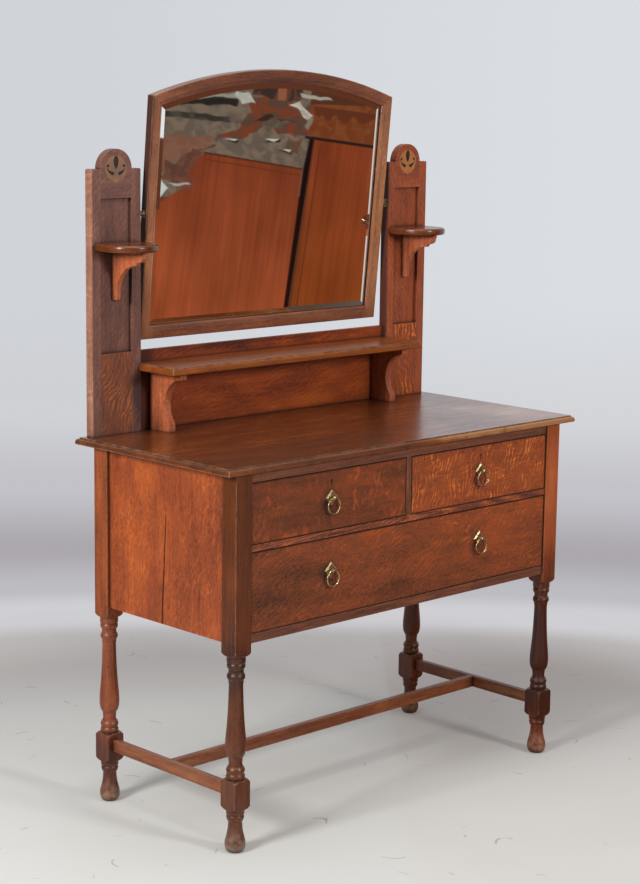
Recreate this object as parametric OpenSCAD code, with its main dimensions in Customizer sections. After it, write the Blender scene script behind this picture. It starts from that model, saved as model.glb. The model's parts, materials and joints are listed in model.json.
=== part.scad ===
// Dressing table of stained oak with a swing mirror.
// X runs across the width, the front faces -Y, Z is up, and Z = 0 is the floor.
// The origin is on the floor, under the middle of the object's bounding box.

/* [Table] */
// Width of the top board
top_w = 1002; // [900:1:1100]
// Depth of the top board
top_d = 466; // [440:1:520]
// Height of the top board's upper face above the floor
table_h = 760; // [730:1:790]
// Thickness of the top board
top_t = 14; // [12:0.5:20]
// How far the top board runs past each side
overhang_side = 31.5; // [20:0.5:40]
// How far the top board runs past the front legs
overhang_front = 15.5; // [14:0.5:24]
// How far the top board runs past the back legs
overhang_back = 20.5; // [12:0.5:26]
// How far the moulded edge draws the top board's upper face in
mould_in = 6.5; // [4:0.5:9]
// Height of the small step at the top of a moulded edge
mould_step = 2.5; // [1.5:0.25:4]

/* [Legs] */
// Width of the square stock of a leg
leg_w = 41; // [36:0.5:48]
// Height where the square top of a leg begins
square_z = 402; // [395:1:408]
// Height where the square block for the stretchers begins
block_z = 97; // [92:1:100]
// Height of that square block
block_h = 39; // [34:1:42]
// Height of the turned shoulder under or over a square
shoulder_h = 10.5; // [8:0.5:12]
// Largest radius of the foot and of the vase
swell_r = 20.4; // [18:0.1:20.5]
// Radius at the thin end of the vase
vase_thin_r = 13.8; // [12:0.1:15]
// Radius at the ankle over the foot
ankle_r = 13.7; // [12:0.1:15]
// Softening of a leg's long corners
leg_ease = 1.2; // [0.5:0.1:2]
// Radius of the flat under a foot
foot_flat_r = 11; // [9:0.5:13]
// Height of the neck over the lower block's shoulder
neck_h = 44; // [42:0.5:48]
// Height of the vase's widest part over that shoulder
vase_up = 66.5; // [60:0.5:72]
// Height of the turned neck under a leg's square top
top_neck_h = 67; // [60:0.5:75]

/* [Stretchers] */
// Height of the stretchers' upper face above the floor
stretcher_top_z = 134; // [128:1:136]
// Height of a stretcher's section
stretcher_h = 25; // [20:1:30]
// Thickness of a stretcher
stretcher_t = 15; // [12:0.5:20]
// Softening of a stretcher's long edges
stretcher_ease = 1.5; // [0.5:0.1:2.5]

/* [Carcass] */
// Height of the carcass's lower edge above the floor
carcass_z = 414; // [408:1:420]
// Thickness of the side panels
panel_t = 10; // [8:0.5:14]
// How far the side panels lie back from the legs' outer faces
panel_set = 7; // [4:0.5:9]
// How far the rails and drawer fronts lie back from the legs' front faces
front_set = 3.5; // [1:0.5:5]
// Height of the top rail
top_rail_h = 21; // [16:0.5:26]
// Height of the middle rail
mid_rail_h = 13; // [11:0.5:18]
// Height of the bottom rail
low_rail_h = 18; // [15:0.5:24]
// Height of the opening for the two upper drawers
upper_open_h = 121; // [110:1:130]
// Depth of the rails from front to back
rail_d = 45; // [35:1:60]
// Width of the upright between the upper drawers
divider_w = 14; // [12:0.5:20]
// Thickness of the boarded back
back_t = 8; // [6:0.5:12]
// How far the boarded back lies in from the back legs' rear faces
back_set = 4.5; // [2:0.5:8]
// How far a runner reaches in under its drawer
runner_w = 18.5; // [15:0.5:30]
// Height of a drawer guide
guide_h = 20; // [14:1:26]

/* [Drawers] */
// Gap round a drawer front
drawer_gap = 1.2; // [0.8:0.1:2]
// Gap between a drawer and its runners
run_gap = 0.3; // [0.2:0.05:0.5]
// Thickness of a drawer front
front_t = 18; // [16:0.5:22]
// Thickness of a drawer's sides and back
drawer_side_t = 9; // [7:0.5:12]
// Thickness of a drawer's bottom
drawer_bottom_t = 5; // [4:0.5:8]
// Height of the bottom board over the drawer sides' lower edges
bottom_raise = 9; // [6:0.5:12]
// Gap between a closed drawer and the boarded back
drawer_back_gap = 15; // [8:1:60]
// How much lower the drawer sides are than the front
side_drop = 6; // [4:0.5:10]

/* [Pulls and locks] */
// Height of the upper pulls' pivots over the middle rail
pull_up = 66; // [60:0.5:72]
// Height of the lower pulls' pivots over the bottom rail
pull_low = 93; // [80:0.5:100]
// Half of the diagonal of a lozenge plate
plate_r = 17; // [15:0.5:20]
// Thickness of a lozenge plate
plate_t = 3.2; // [2:0.1:4]
// Width of the bevel round a lozenge plate, along the diagonal
plate_bevel = 4; // [2.5:0.1:5]
// Radius of the ball that holds a ring
ball_r = 4.2; // [3.8:0.1:5]
// Distance of a ring's pivot from the drawer front
ring_out = 8; // [7:0.5:9]
// Radius of a ring's centre line
ring_r = 16; // [14:0.5:18]
// Radius of a ring's wire
wire_r = 1.45; // [1.2:0.05:1.6]
// Clearance of the wire in its ball
wire_gap = 0.5; // [0.45:0.05:0.6]
// Height of a keyhole's slot under its round part
key_slot = 9; // [6:0.5:10]
// Radius of a keyhole's round part
key_r = 2.3; // [2:0.1:2.8]
// Distance of a keyhole's round part below the top of its drawer front
key_down = 20.5; // [18:0.5:24]
// Width of a lock's case
lock_w = 50; // [40:1:60]
// Height of a lock's case
lock_h = 36; // [33:0.5:40]
// Thickness of a lock's case
lock_t = 9; // [7:0.5:10]

/* [Uprights] */
// Distance of an upright's outer edge from the end of the top board
upright_side = 23; // [12:0.5:30]
// Width of an upright
upright_w = 123; // [115:1:128]
// Thickness of an upright's stiles
upright_t = 20; // [18:0.5:24]
// Distance of an upright's rear face from the top board's back edge
upright_in = 9; // [4:0.5:14]
// Height of the uprights' shoulders above the table
upright_h = 532.5; // [500:0.5:560]
// Width of a stile
stile_w = 22.5; // [20:0.5:26]
// Height of the wide foot rail of an upright
foot_rail_h = 166; // [150:1:180]
// Thickness of an upright's rails
upright_rail_t = 17.5; // [14:0.5:18]
// Height of the crest rail below the shoulder
crest_drop = 58; // [50:0.5:64]
// How far an upright's panel lies back
upright_panel_set = 8; // [5:0.5:9]
// Thickness of an upright's panel
upright_panel_t = 8; // [6:0.5:9]
// Radius of the inlaid flower
inlay_r = 26; // [23:0.5:28]
// Depth of the inlay
inlay_t = 1.2; // [0.8:0.1:2]

/* [Candle shelves] */
// Height of the candle shelves' upper faces above the table
candle_h = 387; // [370:1:395]
// Thickness of a candle shelf
candle_t = 15; // [12:0.5:18]
// Half of the width of a candle shelf
candle_r = 56.5; // [50:0.5:60]
// Depth of a candle shelf
candle_d = 98; // [92:1:110]
// Radius of a candle shelf's rounded edge
candle_nose = 5; // [3:0.5:6]
// Thickness of a candle shelf's bracket
bracket_t = 10; // [8:0.5:14]
// Height of a candle shelf's bracket
bracket_h = 99; // [90:1:110]
// Reach of a candle shelf's bracket
bracket_d = 90; // [84:0.5:91]
// Thickness of the bracket's tail
bracket_tail = 6; // [5:0.5:10]

/* [Gallery] */
// Height of the gallery shelf's upper face above the table
shelf_h = 140; // [130:1:150]
// Thickness of the gallery shelf
shelf_t = 15; // [12:0.5:18]
// How far the gallery shelf's ends lap onto the uprights
shelf_lap = 5; // [3:0.5:10]
// How far the gallery shelf stands out from the uprights
shelf_out = 107.5; // [95:0.5:115]
// Height of the gallery's back board
gallery_back_h = 165; // [158:1:172]
// Thickness of the gallery's back board
gallery_back_t = 9; // [8:0.5:11]
// Distance of the left support's outer face from the shelf's left end
support_in_left = 37; // [24:0.5:60]
// Distance of the right support's outer face from the shelf's right end
support_in_right = 24; // [20:0.5:60]
// Thickness of a support
support_t = 16; // [12:0.5:20]
// Depth of a support's foot
support_foot = 62.5; // [54:0.5:70]
// Depth of a support under the shelf
support_reach = 97.5; // [90:0.5:105]
// Depth that is left at a support's waist
support_waist = 47.5; // [40:0.5:52]

/* [Mirror] */
// Height of the mirror's pivots above the table
pivot_h = 441.5; // [430:0.5:455]
// Lean of the mirror's top towards the front, in degrees
mirror_tilt = 5.3; // [0:0.1:10]
// Gap between the mirror frame and each upright
swivel_gap = 15; // [12:0.5:18]
// Height of the mirror frame below its pivots
mirror_low = 258; // [250:0.5:262]
// Height of the mirror frame's top over its pivots, in the middle
mirror_high = 290.5; // [280:0.5:300]
// Rise of the arched top
mirror_rise = 55; // [40:0.5:70]
// Width of the mirror frame
frame_w = 27; // [24:0.5:32]
// Thickness of the mirror frame
frame_t = 18; // [16:0.5:22]
// Width of the moulding on the frame's inner edge
frame_mould = 9.5; // [7:0.5:11]
// Width of the rebate behind the frame's inner edge
rebate_w = 6; // [4:0.5:7]
// Thickness of the frame's lip over the glass
lip_t = 8.5; // [7:0.5:10]
// Thickness of the glass
glass_t = 5; // [4:0.5:6]
// Width of the glass's bevel that shows inside the frame
bevel_w = 12; // [8:0.5:18]
// Depth of the glass's bevel at its rim
bevel_d = 1.6; // [1:0.1:2]
// Thickness of the mirror's backboard
backboard_t = 4; // [3:0.5:4]
// Distance of the pivots behind the uprights' front faces
pivot_in = 7.6; // [6:0.1:12]
// Radius of a pivot pin
pin_r = 3; // [2.5:0.1:3.5]
// Running clearance of a pivot pin
pin_gap = 0.05; // [0.03:0.01:0.08]
// Height of a swivel's plate on the upright
swivel_plate_h = 18; // [14:0.5:24]
// Height of a swivel's plate on the mirror frame
socket_plate_h = 15; // [13:0.5:20]
// Width of both plates of a swivel
swivel_plate_w = 9; // [8:0.5:12]

/* [Hidden] */

OAK = [0.38, 0.20, 0.13];
OAK_DARK = [0.27, 0.15, 0.10];
OAK_RED = [0.48, 0.23, 0.12];
OAK_PALE = [0.62, 0.46, 0.30];
BRASS = [0.70, 0.58, 0.30];
STEEL = [0.35, 0.34, 0.33];
GLASS = [0.72, 0.75, 0.76];
INLAY_LIGHT = [0.72, 0.44, 0.20];
INLAY_DARK = [0.12, 0.10, 0.10];

// Segments of a curve, and facets of small, middling and large rounds
STEPS = 5;
SMALL = 13;
ROUND = 14;
LARGE = 120;

// Small lengths shared by several parts
EPS = 0.01;
SEAT = 0.2;

// The leaning mirror reaches behind the top board, so the board lies off the origin
// by half of that and the whole object stays centred.
back_reach = top_d / 2 - upright_in - upright_t + pivot_in
    + mirror_low * sin(mirror_tilt) + frame_t / 2 * cos(mirror_tilt);
table_y = min(0, top_d / 2 - back_reach) / 2;

// Places of the legs
leg_x = top_w / 2 - overhang_side - leg_w / 2;
leg_front_y = table_y - top_d / 2 + overhang_front + leg_w / 2;
leg_back_y = table_y + top_d / 2 - overhang_back - leg_w / 2;
leg_top_z = table_h - top_t;
inner_x = leg_x - leg_w / 2;

// Levels of the front
top_rail_z = leg_top_z - top_rail_h;
mid_top_z = top_rail_z - upper_open_h;
mid_z = mid_top_z - mid_rail_h;
low_top_z = carcass_z + low_rail_h;
face_y = leg_front_y - leg_w / 2 + front_set;
rail_back_y = face_y + rail_d;
panel_in_x = leg_x + leg_w / 2 - panel_set - panel_t;
back_y = leg_back_y + leg_w / 2 - back_set - back_t;
between_y = leg_back_y - leg_front_y - leg_w;
drawer_len = back_y - face_y - front_t - drawer_back_gap;
pull_x = (inner_x + divider_w / 2) / 2;

// Places of the superstructure
upright_back_y = table_y + top_d / 2 - upright_in;
upright_y = upright_back_y - upright_t;
upright_x = top_w / 2 - upright_side;
upright_mid_x = upright_x - upright_w / 2;
upright_in_x = upright_x - upright_w;
shoulder_z = table_h + upright_h;
crest_r = upright_w / 2 - stile_w;
gallery_y = upright_back_y - gallery_back_t;
shelf_half = upright_in_x + shelf_lap;
shelf_z = table_h + shelf_h - shelf_t;
candle_z = table_h + candle_h - candle_t;

// Places in the mirror, from its pivot axis
pivot_y = upright_y + pivot_in;
pivot_z = table_h + pivot_h;
mirror_half = upright_in_x - swivel_gap;
arch_r = (mirror_half * mirror_half + mirror_rise * mirror_rise) / (2 * mirror_rise);
arch_z = mirror_high - arch_r;
sight_half = mirror_half - frame_w;
rebate_in = frame_w - rebate_w;
glass_in = rebate_in + SEAT;
glass_y = -frame_t / 2 + lip_t;
socket_r = pin_r + 3;
socket_len = 14;

// Angle from the middle of the arch to a frame edge set in by d
function arch_angle(d) = asin((mirror_half - d) / (arch_r - d));

// Height of the arch set in by d, over the frame edge set in by d
function arch_end_z(d) = arch_z + (arch_r - d) * cos(arch_angle(d));

// Point on a cubic curve through a and b with handles p and q
function bezier(a, p, q, b, t) =
    pow(1 - t, 3) * a + 3 * pow(1 - t, 2) * t * p + 3 * (1 - t) * t * t * q + t * t * t * b;

// Points of an elliptical arc round c with radii r, from angle a0 to a1
function arc(c, r, a0, a1, n = STEPS) =
    [for (i = [0:n]) let (a = a0 + (a1 - a0) * i / n) c + [r[0] * cos(a), r[1] * sin(a)]];

// Points of a cubic curve, without its first one
function curve(a, p, q, b, n = STEPS) = [for (i = [1:n]) bezier(a, p, q, b, i / n)];

// Bead on a turned profile: largest radius, rise over the collar, middle, height
module bead(r_max, rise, z_mid, h) {
    r_sec = (h * h / 4 + rise * rise) / (2 * rise);
    intersection() {
        translate([r_max - r_sec, z_mid]) circle(r = r_sec, $fn = SMALL);
        translate([0, z_mid - r_sec]) square([r_max + 1, 2 * r_sec]);
    }
}

// Half section of a leg up to the vase's thin end and on to the square top.
// Full radius stands for the square stock, which cuts it flat.
module leg_profile() {
    full_r = leg_w;
    neck_r = ankle_r - 0.7;
    collar_r = swell_r - 2.3;
    foot_z = 16;
    under_z = block_z - shoulder_h;
    over_z = block_z + block_h + shoulder_h;
    vase_z = over_z + vase_up;
    thin_z = square_z - top_neck_h;
    corner_r = leg_w / sqrt(2) + 0.4;
    polygon(concat(
        [[0, 0]],
        arc([foot_flat_r, foot_z], [swell_r - foot_flat_r, foot_z], -90, 0, 3),
        curve([swell_r, foot_z], [swell_r, 30], [ankle_r + 0.2, 34], [ankle_r, 62]),
        [[collar_r - 2, 65], [collar_r - 2, under_z - 10], [collar_r - 0.2, under_z - 9]],
        arc([collar_r - 0.2, block_z], [corner_r - collar_r, shoulder_h], -90, 0, 2),
        [[full_r, block_z], [full_r, block_z + block_h]],
        arc([collar_r + 0.3, block_z + block_h], [corner_r - collar_r, shoulder_h], 0, 90, 2),
        [[collar_r - 1.4, over_z], [collar_r - 1.4, over_z + 24], [ankle_r + 1.3, over_z + 25]],
        [[neck_r, over_z + 31]],
        arc([neck_r, vase_z], [swell_r - neck_r, vase_up - neck_h], -80, 0, 4),
        curve([swell_r, vase_z], [swell_r, vase_z + 27], [vase_thin_r + 1.8, vase_z + 33],
              [vase_thin_r, thin_z]),
        [[vase_thin_r + 1, thin_z + 5], [vase_thin_r + 1, thin_z + 31], [collar_r - 1.6, thin_z + 32]],
        [[collar_r - 1.6, thin_z + 43], [collar_r + 0.3, thin_z + 44]],
        arc([collar_r + 0.3, square_z], [corner_r - collar_r, shoulder_h], -90, 0, 2),
        [[full_r, square_z], [full_r, leg_top_z], [0, leg_top_z]]
    ));
    bead(swell_r - 3, 1.8, under_z - 15.8, 10);
    bead(swell_r - 2, 1.9, over_z + 6, 11.6);
    bead(swell_r - 2.1, 1.8, over_z + 18.2, 11);
    bead(swell_r - 2.6, 3, thin_z + 16, 14);
    bead(swell_r - 2.3, 1.9, thin_z + 37.5, 10.6);
}

// Turned leg: the profile cut from square stock with eased corners
module leg(x, y) {
    half = leg_w / 2;
    e = leg_ease;
    color(OAK) translate([x, y, 0]) intersection() {
        rotate_extrude($fn = SMALL) leg_profile();
        linear_extrude(height = leg_top_z) polygon([
            [-half + e, -half], [half - e, -half], [half, -half + e], [half, half - e],
            [half - e, half], [-half + e, half], [-half, half - e], [-half, -half + e]
        ]);
    }
}

// Board in the XY plane from its lower corner and its size
module board(p, s) {
    translate(p) cube(s);
}

// Section of a stretcher, with its edges eased
module stretcher_section() {
    w = stretcher_t;
    h = stretcher_h;
    e = stretcher_ease;
    polygon([[e, 0], [w - e, 0], [w, e], [w, h - e], [w - e, h], [e, h], [0, h - e], [0, e]]);
}

// Side stretchers between the blocks of the legs
module side_stretchers() {
    for (side = [-1, 1])
        color(OAK_RED)
            translate([side * leg_x - stretcher_t / 2, leg_back_y - leg_w / 2, stretcher_top_z - stretcher_h])
                rotate([90, 0, 0]) linear_extrude(height = between_y) stretcher_section();
}

// Long stretcher between the middles of the side stretchers
module centre_stretcher() {
    reach = leg_x - stretcher_t / 2;
    mid_y = (leg_front_y + leg_back_y) / 2;
    color(OAK_RED) translate([-reach, mid_y - stretcher_t / 2, stretcher_top_z - stretcher_h])
        rotate([90, 0, 90]) linear_extrude(height = 2 * reach) stretcher_section();
}

// Side panel, with side -1 on the left and 1 on the right
module side_panel(side) {
    mid_x = panel_in_x + panel_t / 2;
    color(OAK_RED)
        board([side * mid_x - panel_t / 2, leg_front_y + leg_w / 2, carcass_z],
              [panel_t, between_y, leg_top_z - carcass_z]);
}

module carcass_back() {
    color(OAK_DARK) board([-inner_x, back_y, carcass_z], [2 * inner_x, back_t, leg_top_z - carcass_z]);
}

// Flat rail across the front, from its lower face
module front_rail(z, h) {
    color(OAK) board([-inner_x, face_y, z], [2 * inner_x, rail_d, h]);
}

module drawer_divider() {
    color(OAK) board([-divider_w / 2, face_y, mid_top_z], [divider_w, rail_d, upper_open_h]);
}

// Runner and guide beside one side of a drawer, with the runner's top at z
module side_runner(side, z, h) {
    reach = panel_in_x - inner_x + runner_w;
    guide_w = panel_in_x - inner_x - run_gap;
    len = leg_back_y - leg_w / 2 - rail_back_y;
    color(OAK_PALE) {
        board([side > 0 ? panel_in_x - reach : -panel_in_x, rail_back_y, z - h], [reach, len, h]);
        board([side > 0 ? panel_in_x - guide_w : -panel_in_x, rail_back_y, z + 2 * guide_h],
              [guide_w, len, guide_h]);
    }
}

// Runners and guides of the two upper drawers
module runners_upper() {
    len = back_y - rail_back_y;
    centre_w = 2 * runner_w + divider_w;
    for (side = [-1, 1]) side_runner(side, mid_top_z, mid_rail_h);
    color(OAK_PALE) {
        board([-centre_w / 2, rail_back_y, mid_z], [centre_w, len, mid_rail_h]);
        board([-divider_w / 2, rail_back_y, mid_top_z + guide_h], [divider_w, len, guide_h]);
    }
}

// Runners and guides of the long drawer
module runners_lower() {
    for (side = [-1, 1]) side_runner(side, low_top_z, mid_rail_h);
}

// Half outline of a moulded edge: a softened foot, an ovolo and a small step
function mould_edge(x, z, t, in) = concat(
    [[x - 1.5, z], [x, z + 2], [x, z + 3.5]],
    arc([x - in + 1, z + 3.5], [in - 1, t - mould_step - 3.5], 0, 90, 4),
    [[x - in, z + t - mould_step], [x - in, z + t]]
);

// Same outline on both sides, for a board that is moulded left and right
function mould_both(half, z, t, in) = concat(
    mould_edge(half, z, t, in),
    [for (i = [len(mould_edge(half, z, t, in)) - 1:-1:0])
        let (p = mould_edge(half, z, t, in)[i]) [-p[0], p[1]]]
);

// Top board with its moulding along all four edges
module top_board() {
    color(OAK) translate([0, table_y, 0]) intersection() {
        translate([0, top_d / 2, 0]) rotate([90, 0, 0])
            linear_extrude(height = top_d) polygon(mould_both(top_w / 2, leg_top_z, top_t, mould_in));
        translate([-top_w / 2, 0, 0]) rotate([90, 0, 90])
            linear_extrude(height = top_w) polygon(mould_both(top_d / 2, leg_top_z, top_t, mould_in));
    }
}

// Sizes of a drawer: left end, width, lower edge of its opening, height of its opening
left_drawer = [-inner_x, inner_x - divider_w / 2, mid_top_z, upper_open_h];
right_drawer = [divider_w / 2, inner_x - divider_w / 2, mid_top_z, upper_open_h];
long_drawer = [-inner_x, 2 * inner_x, low_top_z, mid_z - low_top_z];

// Keyhole: a round hole with a slot under it, cut from the face inwards
module keyhole(depth) {
    rotate([-90, 0, 0]) translate([0, 0, -1]) cylinder(r = key_r, h = depth + 1, $fn = SMALL);
    translate([-key_r / 2, -1, -key_slot]) cube([key_r, depth + 1, key_slot]);
}

// Middle of the pull and the keyhole on the side of a drawer
function key_z(d) = d[2] + d[3] - drawer_gap - key_down;

// Drawer front, with a pocket and a keyhole where it has a lock at lock_x
module drawer_front(d, lock_x) {
    low = run_gap + 0.5;
    top = d[2] + d[3] - drawer_gap;
    color(OAK) difference() {
        board([d[0] + drawer_gap, face_y, d[2] + low], [d[1] - 2 * drawer_gap, front_t, d[3] - drawer_gap - low]);
        if (lock_x != 0) {
            translate([lock_x, face_y, key_z(d)]) keyhole(front_t);
            board([lock_x - lock_w / 2 - SEAT, face_y + front_t - lock_t, top - lock_h - SEAT],
                  [lock_w + 2 * SEAT, lock_t + 1, lock_h + 1]);
        }
    }
}

// Height of a drawer's sides
function side_height(d) = d[3] - drawer_gap - side_drop - run_gap;

module drawer_sides(d) {
    for (x = [d[0] + drawer_gap, d[0] + d[1] - drawer_gap - drawer_side_t])
        color(OAK_PALE)
            board([x, face_y + front_t, d[2] + run_gap], [drawer_side_t, drawer_len, side_height(d)]);
}

module drawer_back(d) {
    in = drawer_gap + drawer_side_t;
    low = run_gap + bottom_raise + drawer_bottom_t;
    color(OAK_PALE)
        board([d[0] + in, face_y + front_t + drawer_len - drawer_side_t, d[2] + low],
              [d[1] - 2 * in, drawer_side_t, side_height(d) - low - side_drop]);
}

module drawer_bottom(d) {
    in = drawer_gap + drawer_side_t;
    color(OAK_PALE)
        board([d[0] + in, face_y + front_t, d[2] + run_gap + bottom_raise],
              [d[1] - 2 * in, drawer_len, drawer_bottom_t]);
}

// Lock let into the back of a drawer front, with its pin behind the keyhole
module drawer_lock(d, x) {
    top = d[2] + d[3] - drawer_gap;
    y = face_y + front_t - lock_t;
    color(BRASS) difference() {
        board([x - lock_w / 2, y, top - lock_h], [lock_w, lock_t, lock_h]);
        translate([x, y, key_z(d)]) keyhole(lock_t - 2);
    }
    color(BRASS) translate([x, y + 2, key_z(d)]) rotate([-90, 0, 0])
        cylinder(r = key_r / 2, h = lock_t - 2.5, $fn = SMALL);
}

// Lozenge plate with a bevelled rim, a post and a drilled ball
module pull_plate(x, z) {
    rim = 1.2;
    bore_r = wire_r + wire_gap;
    color(BRASS) translate([x, face_y, z]) rotate([90, 0, 0]) difference() {
        union() {
            cylinder(r = plate_r, h = rim, $fn = 4);
            translate([0, 0, rim]) cylinder(r1 = plate_r, r2 = plate_r - plate_bevel, h = plate_t - rim, $fn = 4);
            cylinder(r = ball_r, h = plate_t + 0.8, $fn = SMALL);
            cylinder(r = ball_r * 0.62, h = ring_out, $fn = SMALL);
            translate([0, 0, ring_out]) sphere(r = ball_r, $fn = SMALL);
        }
        translate([-plate_r, 0, ring_out]) rotate([0, 90, 0]) cylinder(r = bore_r, h = 2 * plate_r, $fn = SMALL);
    }
}

// Ring that hangs through the ball of its plate
module ring(x, z) {
    color(BRASS) translate([x, face_y - ring_out, z - ring_r]) rotate([90, 0, 0])
        rotate_extrude($fn = SMALL) translate([ring_r, 0]) circle(r = wire_r, $fn = SMALL);
}

upper_pull_z = mid_top_z + pull_up;
lower_pull_z = low_top_z + pull_low;

// Pair of stiles of an upright, with softened tops
module upright_stiles(side) {
    ease = 3;
    for (x = [upright_in_x, upright_x - stile_w])
        color(OAK_DARK) translate([side > 0 ? x : -x - stile_w, upright_y + upright_t, table_h])
            rotate([90, 0, 0]) linear_extrude(height = upright_t) union() {
                square([stile_w, upright_h - ease]);
                translate([ease, 0]) square([stile_w - 2 * ease, upright_h]);
                for (cx = [ease, stile_w - ease])
                    translate([cx, upright_h - ease]) circle(r = ease, $fn = SMALL);
            }
}

// Outline of the inlaid flower's ground: a disc with a small point below
module inlay_ground_shape() {
    u = inlay_r / 26;
    circle(r = inlay_r, $fn = 2 * ROUND);
    polygon([[-9 * u, -22 * u], [9 * u, -22 * u], [0, -28.6 * u]]);
}

// Right half of the middle leaf, from its point below to its round top
half_leaf = concat(
    curve([0, -1.5], [3.4, 2], [6.4, 8.5], [6.2, 14.5], 3),
    curve([6.2, 14.5], [6, 21], [3.4, 25.2], [0, 25.2], 4)
);

// Left side leaf: a broad inner end, a thin tail curling up and the way back
side_leaf = concat(
    curve([-2.6, -12.5], [-9, -15.5], [-18, -9.5], [-22.3, -1.5], 4),
    curve([-22.3, -1.5], [-23.3, 0.5], [-23.6, 3], [-22.9, 6], 2),
    curve([-21.2, 5.5], [-22, 2.5], [-21, -0.5], [-19.6, -2.2], 2),
    curve([-19.6, -2.2], [-15, -5.2], [-8, -5.6], [-3.6, -8.5], 3)
);

// Outline of the dark leaves: a pointed one in the middle and one with a knob on each side
module inlay_leaf_shapes() {
    u = inlay_r / 26;
    polygon(concat(
        [[0, -1.5 * u]],
        [for (p = half_leaf) u * p],
        [for (i = [len(half_leaf) - 2:-1:0]) u * [-half_leaf[i][0], half_leaf[i][1]]]
    ));
    for (side = [0, 1]) mirror([side, 0]) {
        polygon([for (p = side_leaf) u * p]);
        translate([-19.9 * u, 5.8 * u]) circle(r = 3 * u, $fn = SMALL);
    }
}

// Puts a flat shape on the crest of an upright, let in from its front face
module on_crest(side, depth) {
    translate([side * upright_mid_x, upright_y + depth, shoulder_z])
        rotate([90, 0, 0]) linear_extrude(height = depth) children();
}

// Arched crest rail with a pocket for the inlay
module upright_crest(side) {
    color(OAK_DARK) difference() {
        translate([side * upright_mid_x, upright_y + upright_rail_t, shoulder_z])
            rotate([90, 0, 0]) linear_extrude(height = upright_rail_t) union() {
                circle(r = crest_r, $fn = 2 * ROUND);
                translate([-crest_r, -crest_drop]) square([2 * crest_r, crest_drop]);
            }
        translate([0, -EPS, 0]) on_crest(side, inlay_t + EPS) inlay_ground_shape();
    }
}

module inlay_ground() {
    for (side = [-1, 1])
        color(INLAY_LIGHT) on_crest(side, inlay_t) difference() {
            inlay_ground_shape();
            inlay_leaf_shapes();
        }
}

module inlay_leaves() {
    for (side = [-1, 1])
        color(INLAY_DARK) on_crest(side, inlay_t) intersection() {
            inlay_ground_shape();
            inlay_leaf_shapes();
        }
}

module upright_panel(side) {
    low = table_h + foot_rail_h;
    color(OAK_DARK)
        board([side * upright_mid_x - crest_r, upright_y + upright_panel_set, low],
              [2 * crest_r, upright_panel_t, shoulder_z - crest_drop - low]);
}

module upright_foot(side) {
    color(OAK)
        board([side * upright_mid_x - crest_r, upright_y, table_h],
              [2 * crest_r, upright_rail_t, foot_rail_h]);
}

// Section with rounded edges, across a candle shelf
module nosed_section(w, t, r) {
    square([w - r, t]);
    translate([0, r]) square([w, t - 2 * r]);
    for (z = [r, t - r]) translate([w - r, z]) circle(r = r, $fn = SMALL);
}

// D-shaped candle shelf, straight beside the upright and round in front
module candle_shelf(side) {
    straight = candle_d - candle_r;
    color(OAK) translate([side * upright_mid_x, upright_y - straight, candle_z]) {
        rotate([0, 0, 180]) rotate_extrude(angle = 180, $fn = 2 * SMALL)
            nosed_section(candle_r, candle_t, candle_nose);
        for (turn = [0, 1]) mirror([turn, 0, 0]) translate([0, straight, 0])
            rotate([90, 0, 0]) linear_extrude(height = straight)
                nosed_section(candle_r, candle_t, candle_nose);
        translate([-crest_r, straight - EPS, 0]) cube([2 * crest_r, upright_panel_set + EPS, candle_t]);
    }
}

// Outline of a candle bracket: tail, cove, fillet and nose. X is the reach from the
// uprights' front faces, Y is up, and the back stands against the upright's panel.
module bracket_shape() {
    h = bracket_h;
    fillet_z = h - 25;
    cove_x = bracket_d - 25;
    polygon(concat(
        [[-upright_panel_set, 0], [bracket_tail - 1, 0], [bracket_tail, 1.5]],
        arc([cove_x, 12], [cove_x - bracket_tail, fillet_z - 14], 180, 90, 8),
        [[cove_x + 3, fillet_z], [cove_x + 4.5, fillet_z + 4]],
        arc([cove_x + 4.5, fillet_z + 16], [18.5, 12], -80, 0, 6),
        [[bracket_d, h - 4], [bracket_d, h], [-upright_panel_set, h]]
    ));
}

module candle_brackets() {
    for (side = [-1, 1])
        color(OAK) translate([side * upright_mid_x + bracket_t / 2, upright_y, candle_z - bracket_h])
            rotate([90, 0, -90]) linear_extrude(height = bracket_t) bracket_shape();
}

module gallery_back() {
    color(OAK_RED)
        board([-upright_in_x, gallery_y, table_h], [2 * upright_in_x, gallery_back_t, gallery_back_h]);
}

// Long shelf: its ends lap onto the uprights, its back meets the back board
module gallery_shelf() {
    shelf_in = 3.5;
    d = shelf_out;
    color(OAK) {
        intersection() {
            translate([0, upright_y, 0]) rotate([90, 0, 0])
                linear_extrude(height = d) polygon(mould_both(shelf_half, shelf_z, shelf_t, shelf_in));
            translate([-shelf_half, upright_y, 0]) rotate([90, 0, 90])
                linear_extrude(height = 2 * shelf_half)
                    polygon([for (p = mould_both(d, shelf_z, shelf_t, shelf_in)) [min(p[0], 0), p[1]]]);
        }
        board([-upright_in_x, upright_y - EPS, shelf_z], [2 * upright_in_x, gallery_y - upright_y + EPS, shelf_t]);
    }
}

// Outline of a support: flat back, straight foot and an elliptical hollow up to the lip
module support_shape() {
    h = shelf_h - shelf_t;
    lip = 14;
    hollow_z = 56;
    rx = support_reach - support_waist;
    rz = h - lip - hollow_z;
    low = -acos((support_reach - support_foot) / rx);
    polygon(concat(
        [[0, 0], [support_foot, 0]],
        [for (p = arc([0, 0], [rx, rz], low, 90, 12)) [support_reach - p[0], hollow_z + p[1]]],
        [[support_reach, h], [0, h]]
    ));
}

module gallery_supports() {
    for (x = [-shelf_half + support_in_left, shelf_half - support_in_right - support_t])
        color(OAK_RED) translate([x + support_t, gallery_y, table_h])
            rotate([90, 0, -90]) linear_extrude(height = support_t) support_shape();
}

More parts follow.
